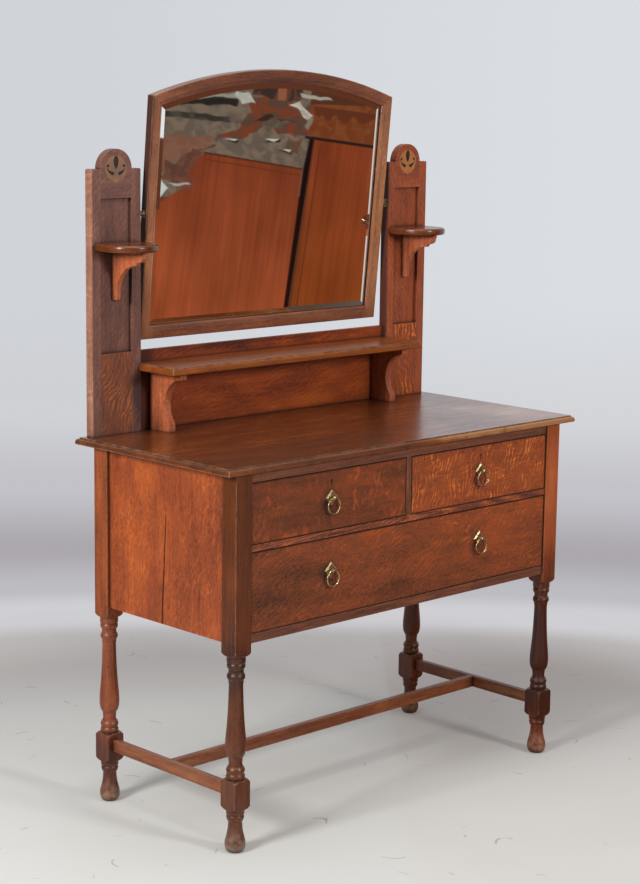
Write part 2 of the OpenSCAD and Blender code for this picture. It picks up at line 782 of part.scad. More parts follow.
// Puts a part of the mirror, modelled round its pivot axis, in its place
module on_pivots() {
    translate([0, pivot_y, pivot_z]) rotate([mirror_tilt, 0, 0]) children();
}

// Section of the mirror frame: X is the distance from the outer edge, Y is the depth
module frame_section() {
    half = frame_t / 2;
    flat = frame_w - frame_mould;
    polygon(concat(
        [[0, half], [0, -half + 1.2], [1.2, -half], [flat, -half], [flat + 0.2, -half + 1.2]],
        arc([flat + 1, glass_y - 2], [frame_mould - 1, lip_t - 3.2], -90, 0, 4),
        [[frame_w, glass_y], [rebate_in, glass_y], [rebate_in, half]]
    ));
}

// Line through the frame's outer and inner corner, which the mitres follow
function mitre(side, d, foot) = foot ? [side * (mirror_half - d), -mirror_low + d]
                                     : [side * (mirror_half - d), arch_end_z(d)];

// Stiles of the mirror frame, mitred at both ends and bored for the sockets
module mirror_stiles() {
    far = 60;
    for (side = [-1, 1]) on_pivots() color(OAK) difference() {
        intersection() {
            translate([side * mirror_half, 0, -mirror_low]) mirror([side > 0 ? 1 : 0, 0, 0])
                linear_extrude(height = mirror_low + mirror_high) frame_section();
            rotate([90, 0, 0]) translate([0, 0, -frame_t])
                linear_extrude(height = 2 * frame_t) polygon([
                    mitre(side, 0, true), mitre(side, frame_w, true),
                    mitre(side, frame_w, false), mitre(side, 0, false)
                ]);
        }
        translate([side * (mirror_half + 1), 0, 0]) rotate([0, -side * 90, 0])
            cylinder(r = socket_r, h = socket_len + 1, $fn = ROUND);
    }
}

// Lower rail of the mirror frame
module mirror_foot_rail() {
    on_pivots() color(OAK) intersection() {
        translate([-mirror_half, 0, -mirror_low]) rotate([90, 0, 90])
            linear_extrude(height = 2 * mirror_half) rotate([0, 0, 90]) mirror([0, 1, 0]) frame_section();
        rotate([90, 0, 0]) translate([0, 0, -frame_t]) linear_extrude(height = 2 * frame_t) polygon([
            mitre(-1, 0, true), mitre(1, 0, true), mitre(1, frame_w, true), mitre(-1, frame_w, true)
        ]);
    }
}

// Arched rail: the frame's section turned round the centre of the arch
module mirror_arch() {
    reach = 30;
    a = arch_angle(0) + 2;
    on_pivots() color(OAK) intersection() {
        translate([0, 0, arch_z]) rotate([90, 0, 0]) rotate([0, 0, 90 - a])
            rotate_extrude(angle = 2 * a, $fn = LARGE) translate([arch_r, 0]) mirror([1, 0, 0])
                mirror([0, 1, 0]) frame_section();
        rotate([90, 0, 0]) translate([0, 0, -frame_t]) linear_extrude(height = 2 * frame_t) polygon([
            mitre(1, frame_w, false), mitre(1, 0, false),
            mitre(1, 0, false) + [0, mirror_rise + reach], mitre(-1, 0, false) + [0, mirror_rise + reach],
            mitre(-1, 0, false), mitre(-1, frame_w, false)
        ]);
    }
}

// Arched outline set in by d from the frame's outer edge
module arched_shape(d) {
    intersection() {
        translate([0, arch_z]) circle(r = arch_r - d, $fn = LARGE);
        translate([-mirror_half + d, -mirror_low + d])
            square([2 * (mirror_half - d), mirror_low + mirror_high]);
    }
}

// Plate with the arched outline, from front face y and with thickness t
module arched_plate(d, y, t) {
    translate([0, y + t, 0]) rotate([90, 0, 0]) linear_extrude(height = t) arched_shape(d);
}

// Silvered glass with a bevel along all its edges
module mirror_glass() {
    run = frame_w - glass_in + bevel_w;
    half = mirror_half - glass_in;
    low = -mirror_low + glass_in;
    rim_r = arch_r - glass_in;
    on_pivots() color(GLASS) translate([0, glass_y, 0]) intersection() {
        translate([0, 0, low]) linear_extrude(height = mirror_low + mirror_high) polygon([
            [-half, glass_t], [-half, bevel_d], [run - half, 0],
            [half - run, 0], [half, bevel_d], [half, glass_t]
        ]);
        translate([-half - 1, 0, low]) rotate([90, 0, 90])
            linear_extrude(height = 2 * half + 2) polygon([
                [glass_t, 0], [bevel_d, 0], [0, run],
                [0, mirror_low + mirror_high], [glass_t, mirror_low + mirror_high]
            ]);
        translate([0, 0, arch_z]) rotate([-90, 0, 0]) rotate_extrude($fn = LARGE) polygon([
            [0, 0], [rim_r - run, 0], [rim_r, bevel_d], [rim_r, glass_t], [0, glass_t]
        ]);
    }
}

module mirror_backboard() {
    on_pivots() color(OAK_PALE) arched_plate(glass_in, glass_y + glass_t, backboard_t);
}

// Brass swivel on each upright: a screwed plate, a pin and a milled collar
module swivel_pins() {
    plate = 1.5;
    for (side = [-1, 1])
        color(BRASS) translate([side * upright_in_x, pivot_y, pivot_z]) rotate([0, -side * 90, 0]) {
            translate([-swivel_plate_h / 2, -swivel_plate_w / 2, 0])
                cube([swivel_plate_h, swivel_plate_w, plate]);
            cylinder(r = pin_r, h = swivel_gap + socket_len - 1, $fn = SMALL);
            translate([0, 0, plate]) cylinder(r = pin_r + 1.2, h = 2.5, $fn = SMALL);
            translate([0, 0, swivel_gap / 2 + 0.5]) cylinder(r = pin_r + 2.2, h = 4.5, $fn = SMALL);
        }
}

// Bored brass socket in each stile of the mirror, with its flange
module swivel_sockets() {
    flange = 1.5;
    for (side = [-1, 1])
        on_pivots() color(BRASS) translate([side * mirror_half, 0, 0]) rotate([0, -side * 90, 0])
            difference() {
                union() {
                    cylinder(r = socket_r, h = socket_len, $fn = SMALL);
                    translate([-socket_plate_h / 2, -swivel_plate_w / 2, -flange])
                        cube([socket_plate_h, swivel_plate_w, flange]);
                }
                translate([0, 0, -flange - 1])
                    cylinder(r = pin_r + pin_gap, h = socket_len + flange, $fn = SMALL);
            }
}

leg(-leg_x, leg_front_y);  // leg_front_left
leg(leg_x, leg_front_y);  // leg_front_right
leg(-leg_x, leg_back_y);  // leg_back_left
leg(leg_x, leg_back_y);  // leg_back_right
side_stretchers();
centre_stretcher();
side_panel(-1);  // side_panel_left
side_panel(1);  // side_panel_right
carcass_back();
front_rail(top_rail_z, top_rail_h);  // top_rail
front_rail(mid_z, mid_rail_h);  // middle_rail
front_rail(carcass_z, low_rail_h);  // bottom_rail
drawer_divider();
runners_upper();
runners_lower();
top_board();
drawer_front(left_drawer, -pull_x);  // drawer_left_front
drawer_sides(left_drawer);  // drawer_left_sides
drawer_back(left_drawer);  // drawer_left_back
drawer_bottom(left_drawer);  // drawer_left_bottom
drawer_front(right_drawer, pull_x);  // drawer_right_front
drawer_sides(right_drawer);  // drawer_right_sides
drawer_back(right_drawer);  // drawer_right_back
drawer_bottom(right_drawer);  // drawer_right_bottom
drawer_front(long_drawer, 0);  // drawer_long_front
drawer_sides(long_drawer);  // drawer_long_sides
drawer_back(long_drawer);  // drawer_long_back
drawer_bottom(long_drawer);  // drawer_long_bottom
drawer_lock(left_drawer, -pull_x);  // lock_left
drawer_lock(right_drawer, pull_x);  // lock_right
pull_plate(-pull_x, upper_pull_z);  // pull_plate_left
pull_plate(pull_x, upper_pull_z);  // pull_plate_right
for (side = [-1, 1]) pull_plate(side * pull_x, lower_pull_z);  // pull_plates_long
ring(-pull_x, upper_pull_z);  // ring_left
ring(pull_x, upper_pull_z);  // ring_right
ring(-pull_x, lower_pull_z);  // ring_long_left
ring(pull_x, lower_pull_z);  // ring_long_right
upright_stiles(-1);  // upright_left_stiles
upright_crest(-1);  // upright_left_crest
upright_panel(-1);  // upright_left_panel
upright_foot(-1);  // upright_left_foot
upright_stiles(1);  // upright_right_stiles
upright_crest(1);  // upright_right_crest
upright_panel(1);  // upright_right_panel
upright_foot(1);  // upright_right_foot
inlay_ground();
inlay_leaves();
candle_shelf(-1);  // candle_shelf_left
candle_shelf(1);  // candle_shelf_right
candle_brackets();
gallery_back();
gallery_shelf();
gallery_supports();
mirror_stiles();
mirror_foot_rail();
mirror_arch();
mirror_glass();
mirror_backboard();
swivel_pins();
swivel_sockets();
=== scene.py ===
"""Stained oak dressing table with a swing mirror, dressed and lit for the studio."""
import json
import logging
import math
from dataclasses import dataclass, replace
from enum import Enum

import bmesh
import bpy
from mathutils import Matrix, Vector, noise


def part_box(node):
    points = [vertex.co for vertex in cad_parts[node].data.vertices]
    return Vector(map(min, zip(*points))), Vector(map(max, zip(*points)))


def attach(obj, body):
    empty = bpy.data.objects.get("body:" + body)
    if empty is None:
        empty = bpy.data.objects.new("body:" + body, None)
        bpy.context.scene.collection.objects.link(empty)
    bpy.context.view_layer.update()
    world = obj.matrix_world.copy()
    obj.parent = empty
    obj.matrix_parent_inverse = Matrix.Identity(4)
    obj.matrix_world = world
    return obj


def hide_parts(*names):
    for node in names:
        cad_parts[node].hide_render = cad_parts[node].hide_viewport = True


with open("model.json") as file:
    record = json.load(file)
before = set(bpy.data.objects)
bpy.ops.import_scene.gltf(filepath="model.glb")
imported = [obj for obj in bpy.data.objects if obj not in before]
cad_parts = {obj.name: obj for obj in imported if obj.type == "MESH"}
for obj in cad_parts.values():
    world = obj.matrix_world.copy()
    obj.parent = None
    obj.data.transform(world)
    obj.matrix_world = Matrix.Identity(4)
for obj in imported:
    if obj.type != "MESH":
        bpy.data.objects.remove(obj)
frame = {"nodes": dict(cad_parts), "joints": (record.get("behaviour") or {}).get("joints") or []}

Tree = bpy.types.NodeTree
Socket = bpy.types.NodeSocket
Piece = bpy.types.Object
Ring = list[bmesh.types.BMVert]
Flat = tuple[float, float]
Point = tuple[float, float, float]

LOG = logging.getLogger("dressing_table")
MM = 0.001
# Plane of the drawer fronts in metres, to within half a millimetre
FRONT_Y = -0.22
# Range of noise that makes soft patches over some half of a surface, as sockets of a MapRange
PATCHY = {1: 0.36, 2: 0.62}


def linear(hex_colour: str) -> tuple[float, float, float, float]:
    """Turns an sRGB hex colour into the linear RGBA that the shaders take.

    Args:
        hex_colour: Six hex digits.

    Returns:
        Linear red, green, blue and an alpha of 1.
    """
    levels = [int(hex_colour[start:start + 2], 16) / 255 for start in (0, 2, 4)]
    light = [level / 12.92 if level <= 0.04045 else ((level + 0.055) / 1.055) ** 2.4 for level in levels]
    return (light[0], light[1], light[2], 1.0)


def noise_scale(feature_mm: float) -> float:
    """Scale of a noise laid over metres that makes its features this size."""
    return 1 / (feature_mm * MM)


def add(tree: Tree, kind: str, inputs: dict | None = None, **settings: object) -> bpy.types.Node:
    """Adds a node to a tree, with its settings, socket values and links.

    Sockets that share a name go by number. A MapRange takes the range from 1 to 2 to the range from 3 to 4.
    A Mix goes, by the share at 0, from the colour at 6 to that at 7, or from the number at 2 to that at 3.

    Args:
        tree: The node tree.
        kind: The node's type name without the leading "ShaderNode".
        inputs: Socket name or number to a value, or to the output that feeds it.
        settings: Properties of the node itself.

    Returns:
        The new node.
    """
    node = tree.nodes.new("ShaderNode" + kind)
    for key, value in settings.items():
        setattr(node, key, value)
    for key, value in (inputs or {}).items():
        if isinstance(value, Socket):
            tree.links.new(value, node.inputs[key])
        else:
            node.inputs[key].default_value = value
    return node


def new_material(name: str) -> tuple[bpy.types.Material, Tree]:
    """Makes an empty node material.

    Args:
        name: Name of the material.

    Returns:
        The material and its node tree.
    """
    material = bpy.data.materials.new(name)
    material.use_nodes = True
    material.node_tree.nodes.clear()
    return material, material.node_tree


def dress(piece: Piece, material: bpy.types.Material) -> None:
    """Gives every material slot of a piece the same material.

    Args:
        piece: A CAD node's object or a new piece.
        material: The finish.
    """
    if not piece.material_slots:
        piece.data.materials.append(material)
    for slot in piece.material_slots:
        slot.material = material


def new_piece(name: str, mesh: bmesh.types.BMesh, material: bpy.types.Material, sharp: float = 40.0) -> Piece:
    """Turns a mesh into an object with smooth faces and sharp edges where it turns hard.

    Args:
        name: Name of the object.
        mesh: Its mesh, freed here.
        material: Its material.
        sharp: Angle in degrees from which an edge stays sharp.

    Returns:
        The object.
    """
    data = bpy.data.meshes.new(name)
    mesh.to_mesh(data)
    mesh.free()
    data.polygons.foreach_set("use_smooth", [True] * len(data.polygons))
    data.set_sharp_from_angle(angle=math.radians(sharp))
    piece = bpy.data.objects.new(name, data)
    bpy.context.scene.collection.objects.link(piece)
    dress(piece, material)
    return piece


def bridge(mesh: bmesh.types.BMesh, first: Ring, second: Ring) -> None:
    """Joins two rings of as many points with four-sided faces.

    Args:
        mesh: The mesh that holds both.
        first: The lower ring, for faces that look outward.
        second: The upper ring.
    """
    for step, corner in enumerate(first):
        after = (step + 1) % len(first)
        mesh.faces.new((corner, first[after], second[after], second[step]))


class Grain(Enum):
    """Direction of a board's grain, as the turn that lays a pattern's X axis along it."""

    ACROSS = (0.0, 0.0, 0.0)
    DEEP = (0.0, 0.0, math.pi / 2)
    UPRIGHT = (0.0, -math.pi / 2, 0.0)


class Facing(Enum):
    """Way that a board's broad face looks, as the axis about which its rays lean."""

    SIDE = (1.0, 0.0, 0.0)
    FRONT = (0.0, 1.0, 0.0)
    LEVEL = (0.0, 0.0, 1.0)


@dataclass(frozen=True)
class Board:
    """One board of wood, as the nodes of its material see it.

    Attributes:
        tree: The material's tree.
        place: Place in metres.
        start: Where the board lies in each pattern.
        grain: Direction of its grain.
    """

    tree: Tree
    place: Socket
    start: Point
    grain: Grain

    def grained_noise(self, size_mm: Point, **settings: float) -> Socket:
        """Adds a noise that is stretched along the grain.

        Args:
            size_mm: Size of its features along, across and through the grain.
            settings: Sockets of the noise, such as its Detail.

        Returns:
            The noise, from 0 to 1.
        """
        lain = add(self.tree, "Mapping", {
            "Vector": self.place, "Location": self.start, "Rotation": self.grain.value,
            "Scale": [size * MM for size in size_mm],
        }, vector_type="TEXTURE").outputs[0]
        return add(self.tree, "TexNoise", {"Vector": lain, "Scale": 1.0, **settings}).outputs["Fac"]


@dataclass(frozen=True)
class Rays:
    """Medullary rays that a quarter-sawn board shows as short bright strokes.

    Attributes:
        length: Length of a stroke in mm.
        width: Width in mm, drawn no finer than a pixel of the picture so that it shows.
        lean: Lean in degrees from square, to the right as one faces the board.
        facing: Way that the broad face looks.
        tone: How much brighter the strokes are, where the whole range from dark to bright is 1.
        patch: Size in mm of the areas in which they gather.
        bend: How far in mm they bend.
        share: Share of the noise that counts as stroke, from 0 to 1.
        striped: Whether they run together into long bright stripes, three widths apart.
    """

    length: float
    width: float
    lean: float
    facing: Facing
    tone: float
    patch: float = 90.0
    bend: float = 8.0
    share: float = 0.45
    striped: bool = False


@dataclass(frozen=True)
class Patch:
    """Soft area painted brighter or darker: light and shade that fall there, or a change in the stain from
    hands or an old spill.

    Attributes:
        middle: Its middle in metres.
        reach: Its half sizes in metres.
        tone: How much brighter or, below 0, darker it is.
    """

    middle: Point
    reach: Point
    tone: float


@dataclass(frozen=True)
class Crack:
    """Open joint between two boards of the side panel.

    Attributes:
        top: Its upper end as y and z in metres.
        bottom: Its lower end as y and z in metres.
        half_width: Half its width in mm at the bottom, which narrows to half of that at the top.
        jag: How far in mm its line strays.
        colour: Colour inside it.
    """

    top: Flat
    bottom: Flat
    half_width: float = 2.3
    jag: float = 3.0
    colour: str = "1C0C07"


@dataclass(frozen=True)
class StainedOak:
    """Oak, planed or turned, stained brown and varnished, then handled for about a century.

    The stain sits dark in the pores and the early wood, so the eye reads streaks along the grain. Where the
    board is quarter-sawn its hard medullary rays take less stain and show as short bright strokes. All of it
    is one tone, from 0 for the dark colour to 1 for the bright one, which also steers bump and gloss.

    Attributes:
        name: Name of the finish.
        dark: Colour in the pores and the early wood.
        mid: Colour of most of the board.
        pale: Colour where the stain is thin.
        bright: Colour of the rays.
        rays: Families of rays, none on plain-sawn boards.
        patches: Areas that are brighter or darker than the rest.
        mottle: Strength of the slow clouds of stain.
        streaks: Strength of the streaks along the grain.
        figure: Strength of the growth rings.
        ring_mm: Spacing of the growth rings.
        worn: Colour of rubbed edges.
        wear: Strength of the rubbed edges.
        dusty_mm: Height below which the wood is scuffed pale by brooms, 0 for none.
        rough: Roughness of the varnish.
        shine: Specular level of the varnish, below 0.5 where fine dust has dulled it.
        coat: Weight of the wax over the varnish.
        edge_mm: Width of the rubbed edges.
        crack: Open joint in the board.
        dust: Colour of what brooms leave.
        grime_and_shade: Colour of the soiling and of the painted shade in corners and recesses.
        rim_shade_and_dirt: Colour of the dark outline round a drawer front: painted shade in the gap, with
            soiling.
    """

    name: str
    dark: str
    mid: str
    pale: str
    bright: str
    rays: tuple[Rays, ...] = ()
    patches: tuple[Patch, ...] = ()
    mottle: float = 1.0
    streaks: float = 1.0
    figure: float = 0.0
    ring_mm: float = 9.0
    worn: str = "A07A55"
    wear: float = 0.5
    dusty_mm: float = 0.0
    rough: float = 0.4
    shine: float = 0.5
    coat: float = 0.0
    edge_mm: float = 1.8
    crack: Crack | None = None
    dust: str = "93806C"
    grime_and_shade: str = "1E0F09"
    rim_shade_and_dirt: str = "1C0E09"

    def material(self, grain: Grain, seed: int, rim: tuple[Point, Point] | None = None) -> bpy.types.Material:
        """Builds the finish for one board.

        Args:
            grain: Direction of the grain.
            seed: Number of the board, so that no two look alike.
            rim: Low and high corner of a front in metres, whose outline is painted dark for the shade in the
                gap and for soiling.

        Returns:
            The material.
        """
        material, tree = new_material(f"{self.name}_{grain.name.lower()}_{seed}")
        place = add(tree, "TexCoord").outputs["Object"]
        # Each board is taken from another place within 3 m of the patterns
        board = Board(tree, place, (seed * 0.737 % 3, seed * 1.319 % 3, seed * 2.113 % 3), grain)
        tone = self._streak(board)
        if self.figure:
            tone = self._add_rings(board, tone)
        wobble = add(tree, "TexNoise", {
            "Vector": place, "Scale": noise_scale(71.43), "Detail": 2.0,
        }).outputs["Color"]
        wobble = add(tree, "VectorMath", {0: wobble, 1: (0.5, 0.5, 0.5)}, operation="SUBTRACT").outputs[0]
        for rays in self.rays:
            tone = self._add_rays(board, wobble, rays, tone)
        for patch in self.patches:
            tone = self._add_patch(board, wobble, patch, tone)
        # Pores: 8 mm long and really 0.3 mm wide, drawn at 1.3 mm so that they show
        pore = board.grained_noise((8, 1.3, 1.3), Detail=1.0)
        pore = add(tree, "MapRange", {"Value": pore, 1: 0.55, 2: 0.75, 3: 0.0, 4: 0.35}).outputs[0]
        tone = add(tree, "Math", {0: tone, 1: pore}, operation="SUBTRACT").outputs[0]

        rounded = add(tree, "Bevel", {"Radius": self.edge_mm * MM}, samples=4).outputs[0]
        colour = self._wear_down(board, rounded, self._stain(board, tone))
        if rim:
            colour = self._line_rim(board, rim, colour)
        bump = add(tree, "Bump", {
            "Height": tone, "Strength": 0.18, "Distance": 0.5 * MM, "Normal": rounded,
        }).outputs[0]
        # Open pores scatter more than the film of varnish between them
        gloss = add(tree, "MapRange", {
            "Value": tone, 1: 0.1, 2: 0.8, 3: self.rough + 0.1, 4: self.rough - 0.04,
        }).outputs[0]
        surface = add(tree, "BsdfPrincipled", {
            "Base Color": colour, "Roughness": gloss, "Normal": bump, "IOR": 1.45,
            "Specular IOR Level": self.shine, "Coat Weight": self.coat, "Coat Roughness": 0.22,
        }).outputs[0]
        add(tree, "OutputMaterial", {"Surface": surface})
        return material

    def _streak(self, board: Board) -> Socket:
        """Lays clouds of stain, broad streaks and fine streaks over each other.

        Args:
            board: The board.

        Returns:
            The tone.
        """
        # Size of each in mm, its detail and its weight
        layers = (
            ((120, 34, 34), 3.0, 0.95 * self.mottle),
            ((150, 7, 7), 3.0, 0.65 * self.streaks),
            ((45, 2.4, 2.4), 2.0, 0.5 * self.streaks),
        )
        # Noise is 0.5 on the average, and the board is to be 0.4
        tone: Socket | float = 0.4 - 0.5 * sum(weight for _, _, weight in layers)
        for size_mm, detail, weight in layers:
            cloud = board.grained_noise(size_mm, Detail=detail, Roughness=0.6, Distortion=0.25)
            tone = add(board.tree, "Math", {0: cloud, 1: weight, 2: tone},
                       operation="MULTIPLY_ADD").outputs[0]
        return tone

    def _add_rings(self, board: Board, tone: Socket) -> Socket:
        """Draws the growth rings as contours of a slow field, pulled long along the grain.

        Args:
            board: The board.
            tone: Tone so far.

        Returns:
            The tone with its rings.
        """
        tree = board.tree
        swell = board.grained_noise((550, 90, 90), Detail=1.5, Distortion=0.5)
        # The field climbs by about 1 in 180 mm across the grain
        turns = 2 * math.pi * 180 / self.ring_mm
        phase = add(tree, "Math", {0: swell, 1: turns}, operation="MULTIPLY").outputs[0]
        ring = add(tree, "Math", {0: phase}, operation="SINE").outputs[0]
        return add(tree, "Math", {0: ring, 1: self.figure / 2, 2: tone}, operation="MULTIPLY_ADD").outputs[0]

    @staticmethod
    def _add_rays(board: Board, wobble: Socket, rays: Rays, tone: Socket) -> Socket:
        """Lays one family of rays over the board.

        Args:
            board: The board.
            wobble: Slow random vector that bends the strokes.
            rays: The family.
            tone: Tone so far.

        Returns:
            The tone with its rays.
        """
        tree = board.tree
        # The wobble seldom passes a quarter either way, so four times it gives the whole bend
        bend = rays.bend * MM * 4
        bent = add(tree, "VectorMath", {0: wobble, 1: (bend, bend, bend), 2: board.place},
                   operation="MULTIPLY_ADD").outputs[0]
        wide, long = rays.width * MM, rays.length * MM
        size = (wide, long, wide) if rays.facing is Facing.LEVEL else (wide, wide, long)
        turn = [math.radians(rays.lean) * part for part in rays.facing.value]
        lined = add(tree, "Mapping", {
            "Vector": bent, "Location": board.start, "Rotation": turn, "Scale": size,
        }, vector_type="TEXTURE").outputs[0]
        stroke = add(tree, "TexNoise", {"Vector": lined, "Scale": 1.0, "Detail": 0.6}).outputs["Fac"]
        if rays.striped:
            # A wave every three widths across, which the noise bends and makes thick or thin
            across = add(tree, "SeparateXYZ", {0: lined}).outputs[1 if rays.facing is Facing.SIDE else 0]
            phase = add(tree, "Math", {0: stroke, 1: 2.6, 2: across}, operation="MULTIPLY_ADD").outputs[0]
            phase = add(tree, "Math", {0: phase, 1: 2 * math.pi / 3}, operation="MULTIPLY").outputs[0]
            wave = add(tree, "Math", {0: phase}, operation="SINE").outputs[0]
            stroke = add(tree, "Math", {0: wave, 1: 0.14, 2: 0.52}, operation="MULTIPLY_ADD").outputs[0]
        edge = 0.68 - 0.2 * rays.share
        stroke = add(tree, "MapRange", {"Value": stroke, 1: edge - 0.05, 2: edge + 0.07},
                     interpolation_type="SMOOTHSTEP").outputs[0]
        where = add(tree, "Mapping", {
            "Vector": board.place, "Location": board.start, "Scale": [rays.patch * MM] * 3,
        }, vector_type="TEXTURE").outputs[0]
        gather = add(tree, "TexNoise", {"Vector": where, "Scale": 1.0, "Detail": 1.0}).outputs["Fac"]
        gather = add(tree, "MapRange", {
            "Value": gather, **PATCHY, 3: 0.15 * rays.tone, 4: rays.tone,
        }).outputs[0]
        return add(tree, "Math", {0: stroke, 1: gather, 2: tone}, operation="MULTIPLY_ADD").outputs[0]

    @staticmethod
    def _add_patch(board: Board, wobble: Socket, patch: Patch, tone: Socket) -> Socket:
        """Brightens or darkens one soft area with an uneven outline.

        Args:
            board: The board.
            wobble: Slow random vector that stirs the outline.
            patch: The area.
            tone: Tone so far.

        Returns:
            The tone with the area.
        """
        tree = board.tree
        stir = [min(0.1, 0.6 * reach) for reach in patch.reach]
        bent = add(tree, "VectorMath", {0: wobble, 1: stir, 2: board.place},
                   operation="MULTIPLY_ADD").outputs[0]
        area = add(tree, "Mapping", {"Vector": bent, "Location": patch.middle, "Scale": patch.reach},
                   vector_type="TEXTURE").outputs[0]
        off = add(tree, "VectorMath", {0: area}, operation="LENGTH").outputs["Value"]
        shift = add(tree, "MapRange", {"Value": off, 1: 0.0, 2: 1.0, 3: patch.tone, 4: 0.0},
                    interpolation_type="SMOOTHSTEP").outputs[0]
        return add(tree, "Math", {0: tone, 1: shift}, operation="ADD").outputs[0]

    def _stain(self, board: Board, tone: Socket) -> Socket:
        """Turns the tone into the stain's four colours.

        Args:
            board: The board.
            tone: The tone.

        Returns:
            The colour.
        """
        colour: Socket | tuple = linear(self.dark)
        for low, high, shade in ((0.0, 0.42, self.mid), (0.42, 0.7, self.pale), (0.7, 1.0, self.bright)):
            share = add(board.tree, "MapRange", {"Value": tone, 1: low, 2: high}).outputs[0]
            colour = add(board.tree, "Mix", {0: share, 6: colour, 7: linear(shade)},
                         data_type="RGBA").outputs[2]
        return colour

    def _wear_down(self, board: Board, rounded: Socket, colour: Socket) -> Socket:
        """Rubs the edges pale, scuffs the feet, opens the joint, and darkens corners and recesses with
        soiling and painted shade.

        Args:
            board: The board.
            rounded: Normal with its edges rounded.
            colour: Colour so far.

        Returns:
            The colour after a century of use.
        """
        tree = board.tree
        # Wear comes and goes every 17 mm or so
        patch = add(tree, "TexNoise", {
            "Vector": board.place, "Scale": noise_scale(16.667), "Detail": 4.0, "Roughness": 0.65,
        }).outputs["Fac"]
        patch = add(tree, "MapRange", {"Value": patch, **PATCHY}).outputs[0]
        if self.wear:
            true = add(tree, "NewGeometry").outputs["Normal"]
            same = add(tree, "VectorMath", {0: rounded, 1: true}, operation="DOT_PRODUCT").outputs["Value"]
            edge = add(tree, "MapRange", {"Value": same, 1: 0.99, 2: 0.82, 3: 0.0, 4: self.wear}).outputs[0]
            amount = add(tree, "Math", {0: edge, 1: patch}, operation="MULTIPLY").outputs[0]
            colour = add(tree, "Mix", {0: amount, 6: colour, 7: linear(self.worn)},
                         data_type="RGBA").outputs[2]
        if self.dusty_mm:
            height = add(tree, "SeparateXYZ", {0: board.place}).outputs[2]
            low = add(tree, "MapRange", {
                "Value": height, 1: 0.0, 2: self.dusty_mm * MM, 3: 0.75, 4: 0.0,
            }).outputs[0]
            low = add(tree, "Math", {0: low, 1: patch}, operation="MULTIPLY").outputs[0]
            colour = add(tree, "Mix", {0: low, 6: colour, 7: linear(self.dust)}, data_type="RGBA").outputs[2]
        if self.crack:
            colour = self._open_joint(board, self.crack, colour)
        # Soiling and painted shade in grooves within 9 mm, and painted shade in recesses within 70 mm
        grime_and_shade: Socket | float = 0.0
        for reach_mm, full, none, most in ((9, 0.4, 0.95, 0.9), (70, 0.15, 0.6, 0.85)):
            shade = add(tree, "AmbientOcclusion", {"Distance": reach_mm * MM}, samples=8).outputs["AO"]
            shade = add(tree, "MapRange", {"Value": shade, 1: full, 2: none, 3: most, 4: 0.0}).outputs[0]
            grime_and_shade = add(tree, "Math", {0: grime_and_shade, 1: shade}, operation="MAXIMUM").outputs[0]
        return add(tree, "Mix", {0: grime_and_shade, 6: colour, 7: linear(self.grime_and_shade)}, data_type="RGBA").outputs[2]

    def _line_rim(self, board: Board, rim: tuple[Point, Point], colour: Socket) -> Socket:
        """Paints the outline of a front dark: the shade in the gap, and soiling on the arris.

        Args:
            board: The board.
            rim: Low and high corner of the front.
            colour: Colour so far.

        Returns:
            The colour with its dark outline.
        """
        tree = board.tree
        part = add(tree, "SeparateXYZ", {0: board.place}).outputs
        nearest: Socket | float = 1.0
        for axis in (0, 2):
            middle, half = (rim[0][axis] + rim[1][axis]) / 2, (rim[1][axis] - rim[0][axis]) / 2
            off = add(tree, "Math", {0: part[axis], 1: middle}, operation="SUBTRACT").outputs[0]
            off = add(tree, "Math", {0: off}, operation="ABSOLUTE").outputs[0]
            inside = add(tree, "Math", {0: half, 1: off}, operation="SUBTRACT").outputs[0]
            nearest = add(tree, "Math", {0: inside, 1: nearest}, operation="MINIMUM").outputs[0]
        # Within 3 mm of the front's edges: painted shade of the gap, with some soiling
        gap_shade_and_dirt = add(tree, "MapRange", {"Value": nearest, 1: 0.9 * MM, 2: 3.0 * MM, 3: 0.88, 4: 0.0}).outputs[0]
        return add(tree, "Mix", {0: gap_shade_and_dirt, 6: colour, 7: linear(self.rim_shade_and_dirt)}, data_type="RGBA").outputs[2]

    @staticmethod
    def _open_joint(board: Board, crack: Crack, colour: Socket) -> Socket:
        """Draws the joint that has opened between two boards.

        Args:
            board: The board.
            crack: The joint.
            colour: Colour so far.

        Returns:
            The colour with its dark line.
        """
        tree = board.tree
        slope = (crack.top[0] - crack.bottom[0]) / (crack.top[1] - crack.bottom[1])
        _, back, height = add(tree, "SeparateXYZ", {0: board.place}).outputs
        line = add(tree, "Math", {0: height, 1: slope, 2: crack.bottom[0] - slope * crack.bottom[1]},
                   operation="MULTIPLY_ADD").outputs[0]
        jag = add(tree, "TexNoise", {
            "Vector": board.place, "Scale": noise_scale(25), "Detail": 3.0,
        }).outputs["Fac"]
        line = add(tree, "Math", {0: jag, 1: crack.jag * MM, 2: line}, operation="MULTIPLY_ADD").outputs[0]
        off = add(tree, "Math", {0: back, 1: line}, operation="SUBTRACT").outputs[0]
        off = add(tree, "Math", {0: off, 1: crack.jag / 2 * MM}, operation="ADD").outputs[0]
        off = add(tree, "Math", {0: off}, operation="ABSOLUTE").outputs[0]
        wide = add(tree, "MapRange", {
            "Value": height, 1: crack.bottom[1], 2: crack.top[1],
            3: crack.half_width * MM, 4: 0.5 * crack.half_width * MM,
        }).outputs[0]
        # It runs out within 10 mm of its upper end
        ended = add(tree, "MapRange", {
            "Value": height, 1: crack.top[1] - 10 * MM, 2: crack.top[1] + 10 * MM, 3: 0.0, 4: 3 * MM,
        }).outputs[0]
        wide = add(tree, "Math", {0: wide, 1: ended}, operation="SUBTRACT").outputs[0]
        depth = add(tree, "Math", {0: wide, 1: off}, operation="SUBTRACT").outputs[0]
        depth = add(tree, "MapRange", {"Value": depth, 1: -0.5 * MM, 2: 0.3 * MM, 3: 0.0, 4: 0.9}).outputs[0]
        return add(tree, "Mix", {0: depth, 6: colour, 7: linear(crack.colour)}, data_type="RGBA").outputs[2]


